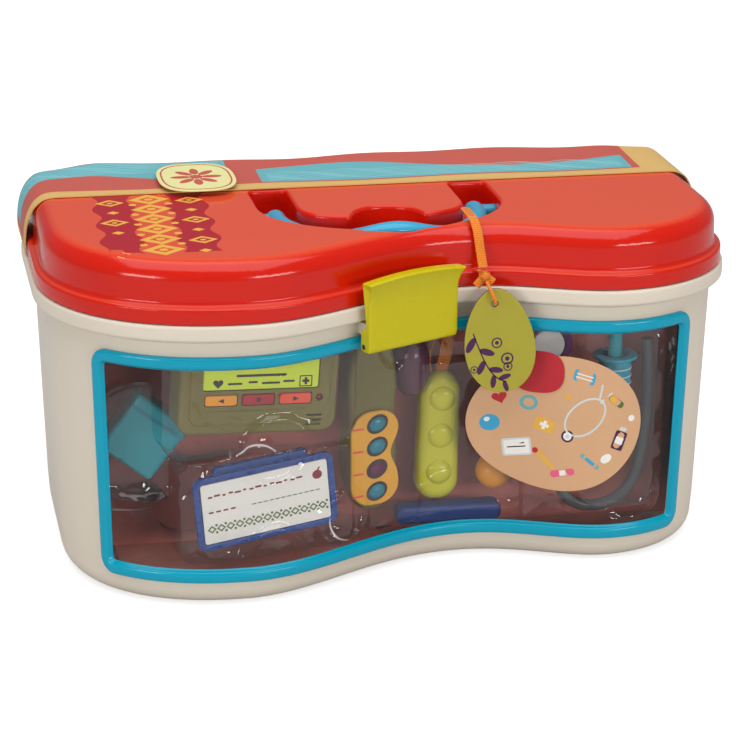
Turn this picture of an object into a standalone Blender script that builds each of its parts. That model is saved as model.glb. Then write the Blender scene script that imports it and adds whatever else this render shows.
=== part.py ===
"""Toy doctor case: a moulded tub with a wavy front and a window, a hinged lid with a
folding handle, a swinging latch, a card sleeve, and the toys packed behind the window.

Metres, +Z up. X is the width, the front faces -Y, the origin is the middle of the base.
Run with: blender --background --python part.py
"""
from math import cos, pi, radians, sin, sqrt, tan

import bmesh
import bpy
from mathutils import Vector

# Plan of the case at its rim
CASE_WIDTH = 0.335
BACK_Y = 0.0955
LEFT_LOBE_X = -0.078
LEFT_LOBE_Y = -0.0955
WAIST_X = 0.034
WAIST_Y = -0.055
RIGHT_LOBE_X = 0.102
RIGHT_LOBE_Y = -0.0733
LEFT_TURN_Y = -0.010
RIGHT_TURN_Y = -0.008
BACK_CORNER_R = 0.042
LEFT_SQUARENESS = 2.2
RIGHT_SQUARENESS = 2.0
TURN_STEPS = 8
WAVE_STEPS = 10
BACK_STEPS = 5

# Fits
SEAT_GAP = 0.0003
RUN_GAP = 0.0004
PIN_PLAY = 0.0002
OVERRUN = 0.004

# Tub
TUB_WALL = 0.0025
TUB_FLOOR = 0.003
WALL_FOOT_INSET = 0.0101
WALL_TOP_INSET = 0.0058
FOOT_ROUND = 0.010
RIM_TOP_Z = 0.1394
RIM_THICK = 0.0069
RIM_SLOPE = 0.0030
RIM_UNDER_Z = RIM_TOP_Z - RIM_THICK
WALL_TOP_Z = RIM_UNDER_Z - RIM_SLOPE
RIM_EDGE = 0.0007
UPSTAND_INSET = 0.0046
UPSTAND_HEIGHT = 0.0061
UPSTAND_TOP_Z = RIM_TOP_Z + UPSTAND_HEIGHT
UPSTAND_WALL = 0.0024

# Lid
LID_SEAT = 0.0005
LID_BAND_HEIGHT = 0.0067
LID_STEP_HEIGHT = 0.0026
LID_HEIGHT = 0.0276
LID_SKIRT_Z = RIM_TOP_Z + LID_SEAT
LID_BAND_Z = LID_SKIRT_Z + LID_BAND_HEIGHT
LID_STEP_Z = LID_BAND_Z + LID_STEP_HEIGHT
LID_TOP_Z = LID_SKIRT_Z + LID_HEIGHT
LID_SKIRT_INSET = 0.0013
LID_SIDE_INSET = 0.0046
LID_SHOULDER_R = 0.0095
LID_SIDE_LEAN = 0.0003
LID_STEP_ROUND = 0.0009
LID_WALL = 0.0024
SHOULDER_STEPS = 5

# Handle
HANDLE_HALF = 0.0488
HANDLE_REACH = 0.0476
HANDLE_PIVOT_Y = 0.006
HANDLE_DEPTH = 0.0085
HANDLE_PIVOT_Z = LID_TOP_Z - HANDLE_DEPTH
HANDLE_ARM_W = 0.0094
HANDLE_GRIP_W = 0.0070
HANDLE_THICK = 0.0084
HANDLE_GRIP_RISE = 0.0057
HANDLE_HEEL = 0.0045
HEEL_SHARE = 0.6
HEEL_TIP_SHARE = 0.72
TRUNNION_R = 0.0030
TRUNNION_DEPTH = 0.0020
HANDLE_STEPS = 28
HANDLE_SIDES = 10

# Handle recess in the lid
RECESS_SIDE_GAP = 0.0050
RECESS_FRONT_GAP = 0.0014
RECESS_HALF = HANDLE_HALF + HANDLE_ARM_W / 2.0 + RECESS_SIDE_GAP
GRIP_FRONT = HANDLE_REACH - HANDLE_PIVOT_Y + HANDLE_GRIP_W / 2.0
RECESS_FRONT = GRIP_FRONT + RECESS_FRONT_GAP
RECESS_BACK_Y = 0.030
RECESS_DEPTH = 0.0170
RECESS_FLOOR_Z = LID_TOP_Z - RECESS_DEPTH
RECESS_WALL = 0.0030
ISLAND_SIDE_GAP = 0.0036
ISLAND_FRONT_GAP = 0.0146
ISLAND_HALF = HANDLE_HALF - HANDLE_ARM_W / 2.0 - ISLAND_SIDE_GAP
ISLAND_FRONT = GRIP_FRONT - HANDLE_GRIP_W - ISLAND_FRONT_GAP
ISLAND_SQUARENESS = 2.8
NOTCH_HALF = 0.0168
NOTCH_DEPTH = 0.0165
SCOOP_X = -0.0027
SCOOP_HALF = 0.0225
SCOOP_ROOM = 0.0116
SCOOP_DEPTH = 0.0167
SCOOP_FRONT = GRIP_FRONT + SCOOP_ROOM
SCOOP_BACK = SCOOP_FRONT - SCOOP_DEPTH
RECESS_STEPS = 14

# Rear hinges
HINGE_X = 0.080
HINGE_OUT = 0.0052
HINGE_RISE = 0.0006
HINGE_Z = RIM_TOP_Z + HINGE_RISE
KNUCKLE_R = 0.0036
KNUCKLE_LID_L = 0.018
KNUCKLE_TUB_L = 0.009
HINGE_PIN_R = 0.0015
WEB_RISE = 0.0031
WEB_DROP = 0.0034

# Latch
LATCH_YAW = radians(25.0)
LATCH_X = 0.0007
LATCH_Y = -0.06755
LATCH_DROP = 0.0186
LATCH_Z = RIM_TOP_Z - LATCH_DROP
LATCH_WIDTH = 0.0508
LATCH_FRONT = 0.0048
LATCH_PLATE = 0.0018
LATCH_RISE = 0.0121
LATCH_TOP_Z = LID_SKIRT_Z + LATCH_RISE
LATCH_LIP_OUT = 0.0085
LATCH_LIP_BACK = 0.0014
LATCH_LIP_FALL = 0.0024
LATCH_FLARE = 0.0095
LATCH_FLARE_Z = LATCH_TOP_Z - LATCH_FLARE
LATCH_CHEEK = 0.0026
LATCH_EYE_R = 0.0026
LATCH_PIN_R = 0.0011
LUG_WIDTH = 0.008
LUG_RISE = 0.0098
LUG_THICK = 0.0056
LUG_TOP_Z = LATCH_Z + LUG_RISE
LUG_UNDER_Z = LUG_TOP_Z - LUG_THICK
LUG_REACH = 0.0168

# Window
WINDOW_LEFT_X = -0.1428
WINDOW_RIGHT_X = 0.1385
WINDOW_LOW_Z = 0.0125
WINDOW_DROP = 0.0060
WINDOW_HIGH_Z = WALL_TOP_Z - WINDOW_DROP
WINDOW_CORNER = 0.0085
FRAME_BAR = 0.0066
FRAME_PROUD = 0.0026
FRAME_ROUND = 0.0011
FRAME_LAP = 0.0030
PANE_THICK = 0.0010
PANE_DEEP = 0.0004
WINDOW_ROWS = 4
WINDOW_COLUMNS = 30

# Card backing and clear tray
CARD_END_GAP = 0.0195
CARD_DROP = 0.0094
CARD_HALF = CASE_WIDTH / 2.0 - CARD_END_GAP
CARD_HIGH_Z = RIM_TOP_Z - CARD_DROP
CARD_Y = -0.0125
CARD_THICK = 0.0007
TRAY_THICK = 0.0006
TRAY_FLANGE_Y = -0.0137
TRAY_LOW_Z = 0.0055
TRAY_DROP = 0.0015
TRAY_HIGH_Z = CARD_HIGH_Z - TRAY_DROP
TRAY_EDGE = 0.006
TRAY_REACH = 0.0040
TRAY_COLUMNS = 30
TRAY_ROWS = 12
POCKET_MARGIN = 0.0105
POCKET_SLOPE = 0.006
POCKET_GAP = 0.0009

# Card sleeve round the lid
SLEEVE_FRONT_Y = 0.0305
SLEEVE_BACK_Y = 0.0800
SLEEVE_THICK = 0.0006
SLEEVE_BULGE = 0.0042
SLEEVE_RISE = 0.0013
SLEEVE_LOW_Z = LID_SKIRT_Z + SLEEVE_RISE
SLEEVE_TAB_X = -0.082
SLEEVE_TAB_HALF = 0.019
SLEEVE_TAB_FRONT_Y = 0.0215
SLEEVE_TAB_BACK_Y = 0.0700
SLEEVE_TAB_SQUARENESS = 2.8
SLEEVE_LEFT_SHARES = (0.85, 0.08)
SLEEVE_RIGHT_SHARES = (0.50, 0.55)

# Window sticker
STICKER_X = 0.0757
STICKER_Z = 0.0706
STICKER_HALF_W = 0.0432
STICKER_HALF_H = 0.0344
STICKER_THICK = 0.0003
FLAG_X = 0.0668
FLAG_Z = 0.0965
FLAG_HALF_W = 0.0122
FLAG_HALF_H = 0.0105
STICKER_SQUARENESS = 2.0
FLAG_SQUARENESS = 2.6
PATCH_COLUMNS = 16

# Ribbon and swing tag: the route's points run from the handle over the lid's edge
RIBBON_D = 0.0038
RIBBON_POINTS = [
    (0.0362, -0.0262, 0.1697), (0.0361, -0.0300, 0.1700), (0.0360, -0.0345, 0.1700),
    (0.0360, -0.0395, 0.1700), (0.0361, -0.0437, 0.1697), (0.0363, -0.0479, 0.1681),
    (0.0366, -0.0511, 0.1652), (0.0369, -0.0532, 0.1613), (0.0373, -0.0546, 0.1570),
    (0.0377, -0.0562, 0.1530), (0.0380, -0.0578, 0.1497)]
KNOT_X = 0.0385
KNOT_Y = -0.0592
KNOT_Z = 0.1462
KNOT_R = 0.0031
STRAND_D = 0.0016
STRAND_POINTS = [
    (0.0388, -0.0622, 0.1440), (0.0393, -0.0640, 0.1427), (0.0400, -0.0664, 0.1408),
    (0.0408, -0.0681, 0.1386), (0.0416, -0.0685, 0.1363), (0.0421, -0.0674, 0.1348),
    (0.0422, -0.0655, 0.1342)]
TAG_X = 0.0460
TAG_Y = -0.0650
TAG_TOP_Z = 0.1415
TAG_BOTTOM_Z = 0.0895
TAG_HALF = 0.0168
TAG_THICK = 0.0006
TAG_HOLE_X = 0.0422
TAG_HOLE_Z = 0.1341
TAG_HOLE_R = 0.0018
TAG_EGG_SHARE = 0.16
TAG_SIDES = 24

# Message pager
PAGER_X = -0.0705
PAGER_Y = -0.0712
PAGER_Z = 0.0965
PAGER_W = 0.076
PAGER_H = 0.042
PAGER_D = 0.019
PAGER_CORNER = 0.007
PAGER_YAW = radians(8.0)
PAGER_ROLL = radians(4.0)
SCREEN_W = 0.055
SCREEN_H = 0.017
SCREEN_RISE = 0.0100
SCREEN_SINK = 0.0010
SCREEN_THICK = 0.0014
BUTTON_W = 0.0152
BUTTON_H = 0.0050
BUTTON_PROUD = 0.0018
BUTTON_DEEP = 0.0016
BUTTON_TRAVEL = 0.0012
BUTTON_PITCH = 0.0178
BUTTON_DROP = 0.0035
BUTTON_SHIFT = -0.0010
LIGHT_R = 0.0014
LIGHT_SHIFT = 0.0285
SLOT_W = 0.0076
SLOT_H = 0.0009
SLOT_PITCH = 0.0024
SLOT_SHIFT = 0.0265
SLOT_DROP = 0.0120
SLOT_DEEP = 0.0012

# Name badge
BADGE_X = -0.0655
BADGE_Y = -0.0665
BADGE_Z = 0.0432
BADGE_W = 0.0695
BADGE_H = 0.0365
BADGE_D = 0.0030
BADGE_CORNER = 0.0045
BADGE_YAW = radians(11.0)
BADGE_ROLL = radians(-5.0)
BADGE_LIP = 0.0034
BADGE_CARD_SINK = 0.0012
BADGE_CARD_THICK = 0.0006
CLIP_W = 0.036
CLIP_H = 0.016
CLIP_RISE = 0.0185
CLIP_D = 0.0040

# Handset with four gems
HANDSET_X = -0.0105
HANDSET_Y = -0.0445
HANDSET_Z = 0.0715
HANDSET_H = 0.090
HANDSET_HALF = 0.0140
HANDSET_WAIST = 0.0018
HANDSET_D = 0.0135
HANDSET_YAW = radians(16.0)
HANDSET_PLATE_H = 0.0560
HANDSET_PLATE_HALF = 0.0135
HANDSET_PLATE_WAIST = 0.0032
HANDSET_PLATE_THICK = 0.0020
HANDSET_PLATE_DROP = 0.0175
GEM_HALF_W = 0.0048
GEM_HALF_H = 0.0036
GEM_RISE = 0.0022
GEM_PITCH = 0.0114
GEM_SHARES = ((0.35, 1.0), (0.72, 0.8), (0.95, 0.35), (1.0, 0.0))
PEANUT_POWER = 0.55
PEANUT_STEPS = 11

# Thermometer stick
STICK_X = 0.0240
STICK_Y = -0.0360
STICK_Z = 0.0562
STICK_L = 0.0610
STICK_R = 0.0105
STICK_D = 0.0150
STICK_ROLL = radians(2.0)
BUMP_R = 0.0058
BUMP_RISE = 0.0016
BUMP_PITCH = 0.0182
BUMP_SHARES = ((0.4, 1.0), (0.8, 0.7), (1.0, 0.0), (1.0, -1.0))
STICK_CORNER_SHARE = 0.9
LACE_D = 0.0022
LACE_X = 0.0270
LACE_Y = -0.0302
LACE_Z = 0.1000
LACE_H = 0.0260
LACE_POINTS = [
    (0.0250, -0.0292, 0.0871), (0.0256, -0.0296, 0.0930), (0.0268, -0.0300, 0.0980),
    (0.0276, -0.0302, 0.1030), (0.0282, -0.0302, 0.1080), (0.0290, -0.0300, 0.1130)]

# Other toys behind the window
BLOCK_X = -0.1195
BLOCK_Y = -0.0450
BLOCK_Z = 0.0780
BLOCK_W = 0.030
BLOCK_H = 0.032
BLOCK_D = 0.016
BLOCK_TURN = radians(38.0)
BLOCK_REACH_SHARE = 0.68
BALL_X = 0.0520
BALL_Y = -0.0304
BALL_Z = 0.0378
BALL_R = 0.0088
BALL_SEAT = 0.0005
BAR_X = 0.0290
BAR_Y = -0.0376
BAR_Z = 0.0190
BAR_L = 0.0520
BAR_H = 0.0090
BAR_D = 0.0110
CHEST_X = 0.0740
CHEST_Y = -0.0430
CHEST_Z = 0.1055
CHEST_R = 0.0125
CHEST_D = 0.0090
CHEST_DISC_R = 0.0088
CHEST_DISC_D = 0.0022
TUBE_D = 0.0058
TUBE_X = 0.1000
TUBE_Y = -0.0375
TUBE_Z = 0.0600
TUBE_HALF_W = 0.0290
TUBE_HALF_H = 0.0450
TUBE_POINTS = [
    (0.0741, -0.0380, 0.0924), (0.0743, -0.0373, 0.0865),
    (0.0748, -0.0366, 0.0800), (0.0762, -0.0362, 0.0680),
    (0.0782, -0.0360, 0.0560), (0.0804, -0.0358, 0.0440), (0.0830, -0.0356, 0.0330),
    (0.0872, -0.0354, 0.0245), (0.0940, -0.0352, 0.0195), (0.1020, -0.0350, 0.0182),
    (0.1100, -0.0350, 0.0196), (0.1170, -0.0352, 0.0246), (0.1220, -0.0355, 0.0330),
    (0.1246, -0.0360, 0.0440), (0.1258, -0.0365, 0.0560), (0.1262, -0.0370, 0.0680),
    (0.1262, -0.0374, 0.0800), (0.1258, -0.0378, 0.0920), (0.1250, -0.0380, 0.1040)]
SYRINGE_X = 0.1070
SYRINGE_Y = -0.0455
SYRINGE_Z = 0.0780
BARREL_R = 0.0078
BARREL_WALL = 0.0012
BARREL_L = 0.044
BARREL_GRIP_R = 0.0108
BARREL_GRIP_T = 0.0020
NOZZLE_SHARES = (0.35, 0.45)
PLUNGER_ROD_R = 0.0032
PLUNGER_HEAD_T = 0.0040
PLUNGER_CAP_R = 0.0092
PLUNGER_CAP_T = 0.0020
PLUNGER_OUT = 0.0120

# Rounds and small counts
SMALL_ROUND = 0.0010
SOFT_ROUND = 0.0022
ROUND_SIDES = 20
PIN_SIDES = 14


def clear_scene():
    for item in list(bpy.data.objects):
        bpy.data.objects.remove(item)


def finish(name, colour, roughness, metallic=0.0, alpha=1.0):
    """A plain material for one sub-part."""
    paint = bpy.data.materials.new(name)
    paint.use_nodes = True
    shader = paint.node_tree.nodes["Principled BSDF"]
    shader.inputs["Base Color"].default_value = (*colour, 1.0)
    shader.inputs["Roughness"].default_value = roughness
    shader.inputs["Metallic"].default_value = metallic
    shader.inputs["Alpha"].default_value = alpha
    return paint


def mesh_object(name, points, faces, paint=None, smooth=True):
    """One object from a closed skin of points and faces."""
    mesh = bpy.data.meshes.new(name)
    mesh.from_pydata([tuple(point) for point in points], [], faces)
    skin = bmesh.new()
    skin.from_mesh(mesh)
    bmesh.ops.recalc_face_normals(skin, faces=skin.faces)
    skin.to_mesh(mesh)
    skin.free()
    item = bpy.data.objects.new(name, mesh)
    bpy.context.scene.collection.objects.link(item)
    if paint:
        mesh.materials.append(paint)
    if smooth:
        mesh.shade_smooth()
        mesh.set_sharp_from_angle(angle=radians(35.0))
    return item


def cutter(item):
    """Leave a shape out of the model and keep it for Booleans."""
    item.hide_render = True
    item.display_type = "WIRE"
    return item


def combine(item, tool, operation):
    step = item.modifiers.new(operation.lower(), "BOOLEAN")
    step.operation = operation
    step.object = cutter(tool)
    return item


def soften(item, width, segments=1):
    """Round the sharp edges."""
    step = item.modifiers.new("round", "BEVEL")
    step.width = width
    step.segments = segments
    step.limit_method = "ANGLE"
    step.angle_limit = radians(40.0)
    return item


def loft(name, rings, paint=None, close=False):
    """Skin rings of points; the first and last are capped unless the rings close."""
    count = len(rings[0])
    points = [point for ring in rings for point in ring]
    faces = []
    last = len(rings) if close else len(rings) - 1
    for row in range(last):
        here = row * count
        there = ((row + 1) % len(rings)) * count
        for step in range(count):
            after = (step + 1) % count
            faces.append((here + step, here + after, there + after, there + step))
    if not close:
        faces.append(tuple(reversed(range(count))))
        faces.append(tuple(range(len(points) - count, len(points))))
    return mesh_object(name, points, faces, paint)


def prism(name, outline, low, high, paint=None):
    """Extrude an anticlockwise outline of (x, y) from low to high."""
    return loft(name, [[(x, y, z) for x, y in outline] for z in (low, high)], paint)


def slab(name, outline, front, back, paint=None):
    """Extrude an anticlockwise outline of (x, z), seen from the front, along Y."""
    return loft(name, [[(x, y, z) for x, z in outline] for y in (front, back)], paint)


def disc_outline(half_x, half_y, sides=ROUND_SIDES, squareness=2.0):
    """An ellipse, or a squarer one, anticlockwise."""
    outline = []
    for step in range(sides):
        turn = 2.0 * pi * step / sides
        power = 2.0 / squareness
        reach_x = abs(cos(turn)) ** power
        reach_y = abs(sin(turn)) ** power
        outline.append((half_x * reach_x * (1 if cos(turn) >= 0 else -1),
                        half_y * reach_y * (1 if sin(turn) >= 0 else -1)))
    return outline


def rounded_box(half_x, half_y, corner, steps=3):
    """A rectangle with round corners, anticlockwise."""
    outline = []
    for number, (side_x, side_y) in enumerate(((1, 1), (-1, 1), (-1, -1), (1, -1))):
        for step in range(steps + 1):
            turn = pi / 2.0 * (number + step / steps)
            outline.append((side_x * (half_x - corner) + corner * cos(turn),
                            side_y * (half_y - corner) + corner * sin(turn)))
    return outline


def rod(name, start, end, radius, sides=PIN_SIDES, paint=None):
    """A straight round bar between two points."""
    start = Vector(start)
    along = Vector(end) - start
    aim = along.to_track_quat("Z", "Y")
    rings = []
    for place in (start, start + along):
        ring = []
        for step in range(sides):
            turn = 2.0 * pi * step / sides
            ring.append(place + aim @ Vector((radius * cos(turn), radius * sin(turn), 0.0)))
        rings.append(ring)
    return loft(name, rings, paint)


def turned(name, profile, sides=ROUND_SIDES, paint=None):
    """Turn a profile of (radius, height) about Z; both ends are capped."""
    rings = []
    for radius, height in profile:
        rings.append([(radius * cos(2.0 * pi * step / sides),
                       radius * sin(2.0 * pi * step / sides), height)
                      for step in range(sides)])
    return loft(name, rings, paint)


def move(item, place, turn=(0.0, 0.0, 0.0)):
    item.location = place
    item.rotation_euler = turn
    return item


def superellipse(centre, reach, squareness, start, end, steps):
    """A quarter round that is a little squarer than an ellipse."""
    points = []
    for step in range(steps):
        turn = start + (end - start) * step / steps
        power = 2.0 / squareness
        reach_x = abs(cos(turn)) ** power * (1 if cos(turn) > 0 else -1)
        reach_y = abs(sin(turn)) ** power * (1 if sin(turn) > 0 else -1)
        points.append((centre[0] + reach[0] * reach_x, centre[1] + reach[1] * reach_y))
    return points


def wave(start, end, steps):
    """Half a cosine between two crests of the front."""
    points = []
    for step in range(steps):
        share = step / steps
        rise = (1.0 - cos(pi * share)) / 2.0
        points.append((start[0] + (end[0] - start[0]) * share,
                       start[1] + (end[1] - start[1]) * rise))
    return points


def front_edge(turn_steps, wave_steps):
    """The front of the plan, from the left side to the right side."""
    half = CASE_WIDTH / 2.0
    left = superellipse((LEFT_LOBE_X, LEFT_TURN_Y),
                        (half + LEFT_LOBE_X, LEFT_TURN_Y - LEFT_LOBE_Y),
                        LEFT_SQUARENESS, pi, 1.5 * pi, turn_steps)
    fall = wave((LEFT_LOBE_X, LEFT_LOBE_Y), (WAIST_X, WAIST_Y), wave_steps)
    climb = wave((WAIST_X, WAIST_Y), (RIGHT_LOBE_X, RIGHT_LOBE_Y), wave_steps)
    right = superellipse((RIGHT_LOBE_X, RIGHT_TURN_Y),
                         (half - RIGHT_LOBE_X, RIGHT_TURN_Y - RIGHT_LOBE_Y),
                         RIGHT_SQUARENESS, 1.5 * pi, 2.0 * pi, turn_steps)
    return left + fall + climb + right + [(half, RIGHT_TURN_Y)]


def plan():
    """The whole rim outline, anticlockwise from the left side."""
    half = CASE_WIDTH / 2.0
    corner_y = BACK_Y - BACK_CORNER_R
    points = front_edge(TURN_STEPS, WAVE_STEPS)
    points.append((half, (RIGHT_TURN_Y + corner_y) / 2.0))
    for side, start in ((1, 0.0), (-1, pi / 2.0)):
        for step in range(BACK_STEPS + 1):
            turn = start + pi / 2.0 * step / BACK_STEPS
            points.append((side * (half - BACK_CORNER_R) + BACK_CORNER_R * cos(turn),
                           corner_y + BACK_CORNER_R * sin(turn)))
    points.append((-half, (LEFT_TURN_Y + corner_y) / 2.0))
    return points


def normals(points, closed=True):
    """The outward direction at each point of an anticlockwise outline."""
    result = []
    count = len(points)
    for step in range(count):
        before = points[(step - 1) % count] if closed or step else points[0]
        after = points[(step + 1) % count] if closed or step < count - 1 else points[-1]
        along = (Vector(after) - Vector(before)).normalized()
        result.append((along.y, -along.x))
    return result


PLAN = plan()
PLAN_NORMALS = normals(PLAN)


def ring(inset, height):
    """The plan drawn in by inset, at a height."""
    return [(x - inset * out_x, y - inset * out_y, height)
            for (x, y), (out_x, out_y) in zip(PLAN, PLAN_NORMALS)]


def tier(name, profile, paint=None):
    """A solid whose rings follow the plan: profile is a list of (inset, height)."""
    return loft(name, [ring(inset, height) for inset, height in profile], paint)


def quarter(inset, height, radius, steps, inward=True):
    """A quarter round of (inset, height) that climbs, inward at the top or the foot."""
    result = []
    for step in range(steps + 1):
        turn = pi / 2.0 * step / steps
        if inward:
            result.append((inset + radius * (1.0 - cos(turn)), height + radius * sin(turn)))
        else:
            result.append((inset + radius * (1.0 - sin(turn)), height - radius * cos(turn)))
    return result


def wall_inset(height):
    """How far the tub's wall stands in from the rim at a height."""
    share = height / WALL_TOP_Z
    return WALL_FOOT_INSET + (WALL_TOP_INSET - WALL_FOOT_INSET) * share


FRONT = front_edge(TURN_STEPS * 4, WAVE_STEPS * 5)
FRONT_NORMALS = normals(FRONT, closed=False)
FRONT_RUN = [0.0]
for first, second in zip(FRONT, FRONT[1:]):
    FRONT_RUN.append(FRONT_RUN[-1] + (Vector(second) - Vector(first)).length)


def wall_point(run, height, out=0.0):
    """A point on the tub's front wall: run along the rim, height, and distance out."""
    for step in range(len(FRONT_RUN) - 1):
        if FRONT_RUN[step + 1] >= run:
            break
    share = (run - FRONT_RUN[step]) / (FRONT_RUN[step + 1] - FRONT_RUN[step])
    base = Vector(FRONT[step]).lerp(Vector(FRONT[step + 1]), share)
    outward = Vector(FRONT_NORMALS[step]).lerp(Vector(FRONT_NORMALS[step + 1]), share)
    place = base + outward.normalized() * (out - wall_inset(height))
    return Vector((place.x, place.y, height))


def run_at(x, height):
    """The run along the rim where the front wall passes an x, by halving."""
    low = 0.0
    high = FRONT_RUN[-1]
    for _ in range(40):
        middle = (low + high) / 2.0
        if wall_point(middle, height).x < x:
            low = middle
        else:
            high = middle
    return (low + high) / 2.0


WINDOW_MID_Z = (WINDOW_LOW_Z + WINDOW_HIGH_Z) / 2.0
WINDOW_START = run_at(WINDOW_LEFT_X, WINDOW_MID_Z)
WINDOW_END = run_at(WINDOW_RIGHT_X, WINDOW_MID_Z)


def window_loop(shrink, corner):
    """The window's outline in (run, height), anticlockwise from outside, with the
    direction that points out of the window in its plane."""
    left = WINDOW_START + shrink
    right = WINDOW_END - shrink
    low = WINDOW_LOW_Z + shrink
    high = WINDOW_HIGH_Z - shrink
    loop = []

    def stretch(start, end, outward, steps):
        for step in range(1, steps):
            share = step / steps
            loop.append((start[0] + (end[0] - start[0]) * share,
                         start[1] + (end[1] - start[1]) * share, *outward))

    def bend(run, height, start):
        for step in range(5):
            turn = start + pi / 2.0 * step / 4.0
            loop.append((run + corner * cos(turn), height + corner * sin(turn),
                         cos(turn), sin(turn)))

    bend(right - corner, high - corner, 0.0)
    stretch((right - corner, high), (left + corner, high), (0.0, 1.0), WINDOW_COLUMNS)
    bend(left + corner, high - corner, pi / 2.0)
    stretch((left, high - corner), (left, low + corner), (-1.0, 0.0), WINDOW_ROWS)
    bend(left + corner, low + corner, pi)
    stretch((left + corner, low), (right - corner, low), (0.0, -1.0), WINDOW_COLUMNS)
    bend(right - corner, low + corner, 1.5 * pi)
    stretch((right, low + corner), (right, high - corner), (1.0, 0.0), WINDOW_ROWS)
    return loop


def window_plug(name, shrink, deep, proud):
    """A solid that fills the window from a depth behind the wall to proud of it."""
    corner = max(WINDOW_CORNER - shrink, SMALL_ROUND)
    loop = window_loop(shrink, corner)
    rings = []
    for out in (proud, deep):
        rings.append([wall_point(run, height, out) for run, height, _, _ in loop])
    points = [point for ring_points in rings for point in ring_points]
    count = len(loop)
    faces = []
    for step in range(count):
        after = (step + 1) % count
        faces.append((step, step + count, after + count, after))
    faces += window_skin(count, 0, False)
    faces += window_skin(count, count, True)
    return mesh_object(name, points, faces)


def window_skin(count, offset, flip):
    """Faces across a window loop, so that the skin follows the wavy wall: the top and
    bottom edges are joined column by column, and each end is one face."""
    top = list(range(4, 4 + WINDOW_COLUMNS + 1))
    left = list(range(top[-1], top[-1] + 4 + WINDOW_ROWS + 4 + 1))
    bottom = list(range(left[-1], left[-1] + WINDOW_COLUMNS + 1))
    right = list(range(bottom[-1], count)) + list(range(0, 5))
    faces = [tuple(left), tuple(right)]
    for step in range(WINDOW_COLUMNS):
        faces.append((top[step], top[step + 1],
                      bottom[WINDOW_COLUMNS - step - 1], bottom[WINDOW_COLUMNS - step]))
    faces = [tuple(offset + number for number in face) for face in faces]
    return [tuple(reversed(face)) for face in faces] if flip else faces


def make_frame(paint):
    """The window's rounded surround, a section swept round the loop."""
    loop = window_loop(0.0, WINDOW_CORNER)
    base = SEAT_GAP
    section = [(0.0, base), (0.0, FRAME_PROUD - FRAME_ROUND)]
    section += [(-FRAME_ROUND, FRAME_PROUD), (-FRAME_BAR + FRAME_ROUND, FRAME_PROUD)]
    section += [(-FRAME_BAR, FRAME_PROUD - FRAME_ROUND), (-FRAME_BAR, base)]
    rings = []
    for run, height, aim_run, aim_height in loop:
        rings.append([wall_point(run + aim_run * across, height + aim_height * across, out)
                      for across, out in section])
    return loft("window_frame", rings, paint, close=True)


def make_tub(paint):
    profile = quarter(WALL_FOOT_INSET, FOOT_ROUND, FOOT_ROUND, 4, inward=False)
    profile += [(wall_inset(WALL_TOP_Z), WALL_TOP_Z)]
    profile += [(WALL_TOP_INSET / 2.0, RIM_UNDER_Z - RIM_EDGE * 2.0)]
    profile += [(RIM_EDGE / 2.0, RIM_UNDER_Z), (0.0, RIM_UNDER_Z + RIM_EDGE)]
    profile += [(0.0, RIM_TOP_Z - RIM_EDGE), (RIM_EDGE, RIM_TOP_Z)]
    profile += [(UPSTAND_INSET, RIM_TOP_Z), (UPSTAND_INSET, UPSTAND_TOP_Z - RIM_EDGE)]
    profile += [(UPSTAND_INSET + RIM_EDGE, UPSTAND_TOP_Z)]
    tub = tier("tub_shell", profile, paint)
    for side in (-1, 1):
        combine(tub, latch_lug(side), "UNION")
        for end in (-1, 1):
            combine(tub, hinge_ear(side, end), "UNION")
    inner = FOOT_ROUND - TUB_WALL
    hollow = quarter(WALL_FOOT_INSET + TUB_WALL, TUB_FLOOR + inner, inner, 3, inward=False)
    hollow += [(wall_inset(WALL_TOP_Z) + TUB_WALL, WALL_TOP_Z)]
    hollow += [(UPSTAND_INSET + UPSTAND_WALL, RIM_TOP_Z)]
    hollow += [(UPSTAND_INSET + UPSTAND_WALL, UPSTAND_TOP_Z + OVERRUN)]
    combine(tub, tier("tub_hollow", hollow), "DIFFERENCE")
    combine(tub, window_plug("window_hole", FRAME_LAP, -TUB_WALL - OVERRUN, OVERRUN),
            "DIFFERENCE")
    combine(tub, latch_bore(LATCH_PIN_R + PIN_PLAY), "DIFFERENCE")
    for side in (-1, 1):
        combine(tub, hinge_bore(side, "tub"), "DIFFERENCE")
    return tub


def make_pane(paint):
    pane = window_plug("window_pane", FRAME_LAP + SEAT_GAP, -PANE_DEEP - PANE_THICK,
                       -PANE_DEEP)
    pane.data.materials.append(paint)
    return pane


def hinge_axis():
    return BACK_Y + HINGE_OUT, HINGE_Z


def hinge_ear(side, end):
    """One of the tub's knuckles, with the web that carries it off the rim."""
    axis_y, axis_z = hinge_axis()
    near = KNUCKLE_LID_L / 2.0 + RUN_GAP
    low = side * HINGE_X + (near if end > 0 else -near - KNUCKLE_TUB_L)
    high = low + KNUCKLE_TUB_L
    ear = rod("hinge_ear", (low, axis_y, axis_z), (high, axis_y, axis_z), KNUCKLE_R)
    root_y = BACK_Y - UPSTAND_INSET
    outline = [(low, root_y), (high, root_y), (high, axis_y), (low, axis_y)]
    web = prism("hinge_web", outline, axis_z - WEB_DROP, RIM_TOP_Z - SEAT_GAP)
    return combine(ear, web, "UNION")


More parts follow.
